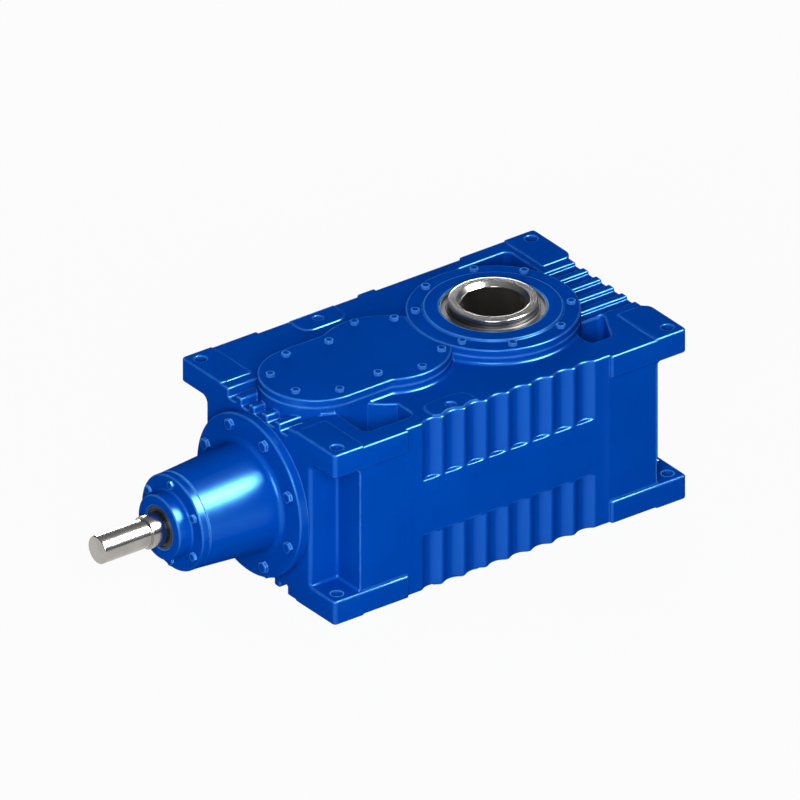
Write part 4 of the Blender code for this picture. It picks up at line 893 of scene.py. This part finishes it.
# %% Bolt and foot holes
M8_HOLE, M6_HOLE = 4.3, 3.3  # radii
upright = COVER_BOLTS + OUTPUT_BOLTS
cut(housing, *[rod(M6_HOLE, BOSS_TOP - 18, ABOVE, place, 16) for place in upright])
cut(housing, *[rod(M8_HOLE, -10, 18, place, 16, True) for place in FLANGE_BOLTS])
FOOT_HOLE = 7.0
FOOT_HOLE_X, FOOT_HOLE_Y = 15.7, 16.25  # from the ends and from the sides
MID_HOLE_Y = 20
HOLE_RIM = 1.4
MID_HOLE = 5.5
THREAD = 2.4  # the blind holes in the middle pads narrow to a thread
upper_rim = flared(HOLE_RIM, HEIGHT) + [(HOLE_RIM, HEIGHT + 8)]
lower_rim = upside_down(upper_rim[::-1])
foot_holes = []
for side in (1, -1):
    y = side * (SIDE - FOOT_HOLE_Y)
    for x in (FOOT_HOLE_X, LENGTH - FOOT_HOLE_X):
        foot_holes.append(stacked(circle((x, y), FOOT_HOLE, 32), lower_rim + upper_rim))
    ring = circle((MID_PAD_X, side * (SIDE - MID_HOLE_Y)), MID_HOLE, 32)
    blind = [(-THREAD, HEIGHT - 28), (-THREAD, HEIGHT - 9), (0, HEIGHT - 5.5)] + upper_rim
    foot_holes += [stacked(ring, blind), stacked(ring, upside_down(blind))]
cut(housing, *foot_holes)
report("with all holes", housing)


# %% [markdown]
# A cast surface is smooth but for its edges. Smooth shading alone would let light run around the
# flat faces too, so weighted normals keep these flat. The piece then gets its material, and rides
# on the body of the CAD node that it stands for.

# %% Smooth it and tie it to its CAD node
def dress(made, body, slot, *stands_for, angle=35):
    """Smooths a finished piece between its sharp edges and ties it to its body, slot and nodes."""
    made.data.shade_smooth()
    made.data.set_sharp_from_angle(angle=math.radians(angle))
    flat = made.modifiers.new("flat faces stay flat", "WEIGHTED_NORMAL")
    flat.keep_sharp = True
    made.data.materials.clear()
    made.data.materials.append(MATERIALS[slot])
    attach(made, body)
    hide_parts(*stands_for)
    report(made.name, made)


dress(housing, "casing", "blue_paint", "housing", angle=40)

# %% [markdown]
# ## Intermediate cover
# This flat iron lid closes the bearings of the two inner shafts. It could be drawn by hand around
# its lobes, but the boss under it already has that outline, so the lid is lofted from it with a
# rounded top edge.

# %% Intermediate cover
COVER_LOW = BOSS_TOP + 0.3
COVER_TOP = span("intermediate_cover", 2)[1]
rings = [(0, COVER_LOW)] + rounded_top(1.8, COVER_TOP)
cover = piece("intermediate_cover_plate", stacked(lobe_outline(OUTPUT_BOSS + 0.6), rings))
for x, seat, bearing, width in SHAFTS[:2]:
    join(cover, rod(bearing, SEAT_TOP + 0.3, COVER_LOW + 4, (x, 0), 72))
    cut(cover, rod(seat + 5, SEAT_TOP - 10, COVER_LOW, (x, 0)))
cut(cover, *[rod(M6_HOLE, COVER_LOW - 10, COVER_TOP + 10, place, 16) for place in COVER_BOLTS])
dress(cover, "casing", "blue_paint", "intermediate_cover")

# %% [markdown]
# ## Output cover, cartridge and end cover
# These three are turned on a lathe after casting: the lid around the hollow shaft, the flanged
# cone that carries the input bearings, and the cap on the cone's nose. Stacked cylinders could
# give their shape, but a spun profile has its fillets already, one at each corner.

# %% Output cover
HUB = 81.0
HUB_TOP = span("output_cover", 2)[1]
SEAL_FLOOR = HUB_TOP - 11
profile = [
    (HUB, HUB_TOP), (HUB, COVER_TOP), (OUTPUT_BOSS, COVER_TOP), (OUTPUT_BOSS, COVER_LOW),
    (72.5, COVER_LOW), (72.5, SEAT_TOP + 0.3), (57.5, SEAT_TOP + 0.3), (57.5, SEAL_FLOOR),
    (62.5, SEAL_FLOOR), (62.5, HUB_TOP),
]
profile = filleted(profile, [1.0, 1.2, 1.8, 0.1, 0.5, 0.5, 0.3, 0.3, 0.3, 0.6], 4)
output_cover = piece("output_cover_plate", spun(profile, (OUTPUT_X, 0, 0), segments=128))
holes = [rod(M6_HOLE, COVER_LOW - 10, COVER_TOP + 10, place, 16) for place in OUTPUT_BOLTS]
cut(output_cover, *holes)
dress(output_cover, "casing", "blue_paint", "output_cover")

# %% Input cartridge
CONE_END = -111.7
REAR_SEAT = -14.0
FRONT_SEAT = -85.1
profile = [
    (60, 20), (60, -0.3), (100, -0.3), (100, -13.4), (66, -13.4), (59, CONE_END),
    (40.3, CONE_END), (40.3, FRONT_SEAT), (35, FRONT_SEAT), (35, REAR_SEAT), (40.3, REAR_SEAT),
    (40.3, 20),
]
profile = filleted(profile, [1, 0.3, 1.4, 2.2, 7, 0.8, 0.6, 0.3, 0.3, 0.3, 0.3, 0.6], 6)
cartridge = piece("input_cartridge_cone", spun(profile, (0, 0, INPUT_Z), True, 128))
cut(cartridge, *[rod(M8_HOLE, -24, 8, place, 16, True) for place in FLANGE_BOLTS])
cut(cartridge, *[rod(M6_HOLE, -123, -98, place, 16, True) for place in NOSE_BOLTS])
dress(cartridge, "casing", "blue_paint", "input_cartridge")

# %% Input end cover
NOSE = span("input_end_cover", 0)[0]
profile = [
    (40, -105.7), (40, -112), (59, -112), (59, -123), (40, -123), (40, NOSE), (26.3, NOSE),
    (26.3, NOSE + 8.8), (20.8, NOSE + 8.8), (20.8, -105.7),
]
profile = filleted(profile, [0.6, 0.3, 0.8, 2.0, 2.5, 2.0, 0.8, 0.3, 0.3, 0.3], 5)
nose = piece("input_end_cover_cap", spun(profile, (0, 0, INPUT_Z), True, 128))
cut(nose, *[rod(M6_HOLE, -130, -108, place, 16, True) for place in NOSE_BOLTS])
dress(nose, "casing", "blue_paint", "input_end_cover")

# %% [markdown]
# ## Bolts
# Hexagon bolts hold the covers and are painted over with them. A bolt head is a hexagon whose six
# corners a turning tool has taken off at an angle. A Boolean with a cone would cut them so. It is
# simpler to divide the upper edges finely and let them dip towards the corners.

# %% Bolt shape
CORNER_SLOPE = 0.55


def bolt(flats, head, shank, length):
    """A bolt that stands on z = 0 with its shank below."""
    corner = flats / math.sqrt(3)
    shape = bmesh.new()
    bmesh.ops.create_cone(
        shape, cap_ends=True, segments=6, radius1=corner, radius2=corner, depth=head - 0.5,
    )
    bmesh.ops.translate(shape, verts=shape.verts, vec=(0, 0, (head + 0.5) / 2))
    ridge = [edge for edge in shape.edges if all(v.co.z > head - 0.1 for v in edge.verts)]
    bmesh.ops.subdivide_edges(shape, edges=ridge, cuts=5)
    top = max(shape.faces, key=lambda face: face.calc_center_median().z)
    bmesh.ops.inset_individual(shape, faces=[top], thickness=0.01)
    flat = 0.93 * flats / 2  # radius of the flat top
    for vertex in top.verts:
        vertex.co.xy = vertex.co.xy.normalized() * flat
    rim = [v for v in shape.verts if v.co.z > head - 0.1 and v not in top.verts]
    for vertex in rim:
        vertex.co.z = head - (vertex.co.xy.length - flat) * CORNER_SLOPE
    washer = rod(0.95 * flats / 2, 0, 0.7, (0, 0), 24)
    stem = rod(shank, -length, 0.3, (0, 0), 16)
    return merged([shape, washer, stem])


def bolts(name, places, size, seat, node, sideways=False):
    """A set of bolts as one piece, each turned differently; sideways ones point along -x."""
    shapes = []
    for number, place in enumerate(places):
        shape = bolt(*size)
        turn = Matrix.Rotation(math.radians(17 * number), 4, "Z")
        if sideways:
            turn = Matrix.Rotation(-math.pi / 2, 4, "Y") @ turn
        place = (seat, *place) if sideways else (*place, seat)
        bmesh.ops.transform(shape, matrix=Matrix.Translation(place) @ turn, verts=shape.verts)
        shapes.append(shape)
    made = piece(name, merged(shapes))
    dress(made, "casing", "blue_paint", *[f"{node}_{k + 1}" for k in range(len(places))])


# %% Four sets of bolts
# width over the flats, height of the head, radius and length of the shank
M8 = (13, 5.3, 4, 25)
M6 = (10, 4, 3, 25)
M6_SHORT = (10, 4, 3, 22)
bolts("intermediate_cover_bolts", COVER_BOLTS, M6, COVER_TOP + 0.3, "intermediate_cover_bolt")
bolts("output_cover_bolts", OUTPUT_BOLTS, M6, COVER_TOP + 0.3, "output_cover_bolt")
bolts("flange_bolts", FLANGE_BOLTS, M8, -13.7, "flange_bolt", True)
bolts("nose_bolts", NOSE_BOLTS, M6_SHORT, -123.3, "nose_bolt", True)

# %% [markdown]
# ## Hollow shaft
# The output shaft is a turned and ground tube that slides over the driven machine's own shaft, with
# a keyway along its bore. It is spun like the covers, and the keyway is cut. The keyway stops under
# the chamfer, so that the rim stays unbroken.

# %% Hollow shaft
low, top = span("hollow_shaft", 2)
wheel_top = span("output_wheel", 2)[1]
profile = [
    (52.5, top), (52.5, wheel_top + 5.3), (60.6, wheel_top + 5.3), (60.6, wheel_top + 0.3),
    (56, wheel_top + 0.3), (56, 36.7), (52.5, 36.7), (52.5, low), (42.5, low), (37.5, low + 5),
    (37.5, top - 5), (42.5, top),
]
profile = filleted(profile, [2, 0.6, 0.6, 0.6, 0.6, 0.6, 0.6, 2, 0.8, 0.8, 0.8, 0.8], 4)
hollow = piece("hollow_shaft_turned", spun(profile, (OUTPUT_X, 0, 0), segments=128))
KEY_HALF, KEY_REACH, KEY_STOP = 10, 42.4, 7
keyway = [(-KEY_HALF, 0), (KEY_HALF, 0), (KEY_HALF, KEY_REACH), (-KEY_HALF, KEY_REACH)]
keyway = filleted([(OUTPUT_X + x, y) for x, y in keyway], [0, 0, 0.6, 0.6], 3)
cut(hollow, stacked(keyway, [(0, low - 10), (0, top - KEY_STOP)]))
key_seat = [(a - 0.3, b + 0.3) for a, b in (span("output_wheel_key", axis) for axis in (0, 1, 2))]
(x0, x1), (y0, y1), (z0, z1) = key_seat
cut(hollow, stacked([(x0, y0), (x1, y0), (x1, y1), (x0, y1)], [(0, z0), (0, z1)]))
dress(hollow, "output", "polished_steel", "hollow_shaft")

# %% [markdown]
# ## Input shaft
# A ground shaft end with a collar sticks out of the nose. Inside, a bevel pinion is cut on it. Teeth
# are slow to draw again, so they are taken over from a copy of the CAD node, cut off behind them
# by a plane, and joined to the spun shaft.

# %% Input shaft
PINION_START = 31
tip = span("input_shaft", 0)[0]
collar = NOSE - 22
profile = [
    (0, 34), (22.5, 34), (22.5, 17), (26, 17), (26, 6.8), (20, 6.8), (20, collar), (17.2, collar),
    (17.2, tip), (0, tip),
]
profile = filleted(profile, [0, 0.8, 0.8, 0.8, 0.6, 0.4, 1.2, 0.8, 1.8, 0], 4, closed=False)
shaft = piece("input_shaft_turned", spun(profile, (0, 0, INPUT_Z), True, 96))
pinion = bmesh.new()
pinion.from_mesh(nodes["input_shaft"].data)
bmesh.ops.remove_doubles(pinion, verts=pinion.verts, dist=1e-7)
bmesh.ops.bisect_plane(
    pinion, geom=pinion.verts[:] + pinion.edges[:] + pinion.faces[:],
    plane_co=(ORIGIN + PINION_START * MM, 0, 0), plane_no=(1, 0, 0), clear_inner=True, dist=1e-7,
)
bmesh.ops.contextual_create(pinion, geom=[edge for edge in pinion.edges if edge.is_boundary])
bmesh.ops.translate(pinion, verts=pinion.verts, vec=(-ORIGIN, 0, 0))
bmesh.ops.scale(pinion, verts=pinion.verts, vec=(1 / MM, 1 / MM, 1 / MM))
join(shaft, pinion)
dress(shaft, "input", "polished_steel", "input_shaft")


# %% [markdown]
# ## Seals
# A rubber ring keeps the oil in where a shaft leaves the casing. Its face dips between the rim and
# the lip that touches the shaft, and that dip shows as a dark ring. One profile, spun in three
# places, does for all of them.

# %% Seals with a lip
def seal(name, node, bore, outer, inside, outside, centre, along_x=False):
    """A moulded ring whose face dips between the outer rim and the lip on the shaft."""
    into = 1 if inside > outside else -1
    dip = outside + into * 1.6
    lip = outside + into * 0.4
    profile = [
        (outer, outside), (outer, inside), (bore, inside), (bore, lip), (bore + 1.2, lip),
        (bore + 2.2, dip), (outer - 2.4, dip), (outer - 1.8, outside),
    ]
    ring = piece(name, spun(filleted(profile, 0.35, 3), centre, along_x))
    dress(ring, "casing", "seal_rubber", node)


low, high = span("output_seal_top", 2)
seal("output_seal_top_ring", "output_seal_top", 52.9, 62.2, low, high, (OUTPUT_X, 0, 0))
low, high = span("output_seal_bottom", 2)
seal("output_seal_bottom_ring", "output_seal_bottom", 52.9, 62.2, high, low, (OUTPUT_X, 0, 0))
low, high = span("input_seal", 0)
seal("input_seal_ring", "input_seal", 20.4, 26, high, low, (0, 0, INPUT_Z), True)

# %% [markdown]
# ## Floor, light and camera
# The unit stands on a wide white floor. A lit floor shades off towards its far end, so the eye and
# bright metal are shown an even white instead, mixed with a little of the lit floor and its shadow.
# Three large, soft lamps stand around the unit: one beside the camera lights the paint, one on the
# right only shows as a highlight, and a low one lights the back. The picture has no perspective,
# so the camera is orthographic.

# %% Floor
WHITE_SHARE = 0.95
floor = bpy.data.objects.new("floor", bpy.data.meshes.new("floor"))
shape = bmesh.new()
bmesh.ops.create_grid(shape, x_segments=1, y_segments=1, size=40)
bmesh.ops.translate(shape, verts=shape.verts, vec=(0, 0, -0.0005))
shape.to_mesh(floor.data)
shape.free()
bpy.context.scene.collection.objects.link(floor)
pale = bpy.data.materials.new("pale_floor")
pale.use_nodes = True
tree = pale.node_tree
tree.nodes.clear()
matt = add(tree, "ShaderNodeBsdfDiffuse", Color=(0.45, 0.45, 0.45, 1))
white = add(tree, "ShaderNodeEmission", Color=(1, 1, 1, 1), Strength=1.0)
path = add(tree, "ShaderNodeLightPath")
seen = add(
    tree, "ShaderNodeMath", [(path, "Is Camera Ray", 0), (path, "Is Glossy Ray", 1)],
    operation="MAXIMUM",
)
seen = add(
    tree, "ShaderNodeMath", [(seen, 0, 0), (path, "Is Transmission Ray", 1)], operation="MAXIMUM",
)
share = add(tree, "ShaderNodeMath", [(seen, 0, 0)], operation="MULTIPLY")
share.inputs[1].default_value = WHITE_SHARE
mix = add(tree, "ShaderNodeMixShader", [(share, 0, 0), (matt, 0, 1), (white, 0, 2)])
add(tree, "ShaderNodeOutputMaterial", [(mix, 0, "Surface")])
floor.data.materials.append(pale)
print("floor:", WHITE_SHARE, "of it is even white to the eye")

# %% World
HORIZON, ZENITH = (0.03, 0.045, 0.08, 1), (0.38, 0.38, 0.40, 1)
UNDER_FLOOR = (0.95, 0.95, 0.95, 1)  # goes on where a low view looks past the floor
world = bpy.data.worlds.new("studio")
bpy.context.scene.world = world
world.use_nodes = True
tree = world.node_tree
tree.nodes.clear()
direction = add(tree, "ShaderNodeTexCoord")
height = add(tree, "ShaderNodeSeparateXYZ", [(direction, "Generated", 0)])
ramp = add(tree, "ShaderNodeValToRGB", [(height, "Z", "Fac")])
ramp.color_ramp.elements[0].position = 0.3
ramp.color_ramp.elements[0].color = HORIZON
ramp.color_ramp.elements[1].color = ZENITH
for position, shade in ((0.0, UNDER_FLOOR), (0.004, HORIZON)):
    ramp.color_ramp.elements.new(position).color = shade
sky = add(tree, "ShaderNodeBackground", [(ramp, 0, "Color")], Strength=1.0)
add(tree, "ShaderNodeOutputWorld", [(sky, 0, "Surface")])
print("sky: brightest overhead,", ZENITH[:3])

# %% Camera
AZIMUTH, ELEVATION = math.radians(-36.8), math.radians(29.1)
look = Vector((-math.sin(AZIMUTH), math.cos(AZIMUTH), -math.tan(ELEVATION))).normalized()
camera = bpy.data.objects.new("camera", bpy.data.cameras.new("camera"))
camera.data.type = "ORTHO"
camera.data.ortho_scale = 0.92
CENTRE = Vector((ORIGIN + 0.261, 0.0757, 0.11175))  # the middle of the picture, in metres
camera.location = CENTRE - look * 8
camera.rotation_euler = look.to_track_quat("-Z", "Y").to_euler()
bpy.context.scene.collection.objects.link(camera)
bpy.context.scene.camera = camera
print("camera: frame of", camera.data.ortho_scale, "m")


# %% Lamps
def lamp(name, place, size, power):
    """A round soft lamp that faces the unit."""
    data = bpy.data.lights.new(name, "AREA")
    data.shape = "DISK"
    data.size = size
    data.energy = power
    made = bpy.data.objects.new(name, data)
    made.location = place
    made.rotation_euler = (LIT - made.location).to_track_quat("-Z", "Y").to_euler()
    bpy.context.scene.collection.objects.link(made)
    print("lamp:", name, power, "W")
    return made


LIT = Vector((0, 0, 0.1))
lamp("beside_camera", (-1.57, -2.10, 1.46), 1.5, 102)
lamp("key_right", (1.37, -1.5, 2.18), 1.5, 450).visible_diffuse = False
lamp("fill_behind", (1.7, 2.4, 0.55), 1.2, 80)

# %% [markdown]
# ## View transform
# The picture's colours are shown through the Standard view transform.

# %% The view transform
bpy.context.scene.view_settings.view_transform = "Standard"
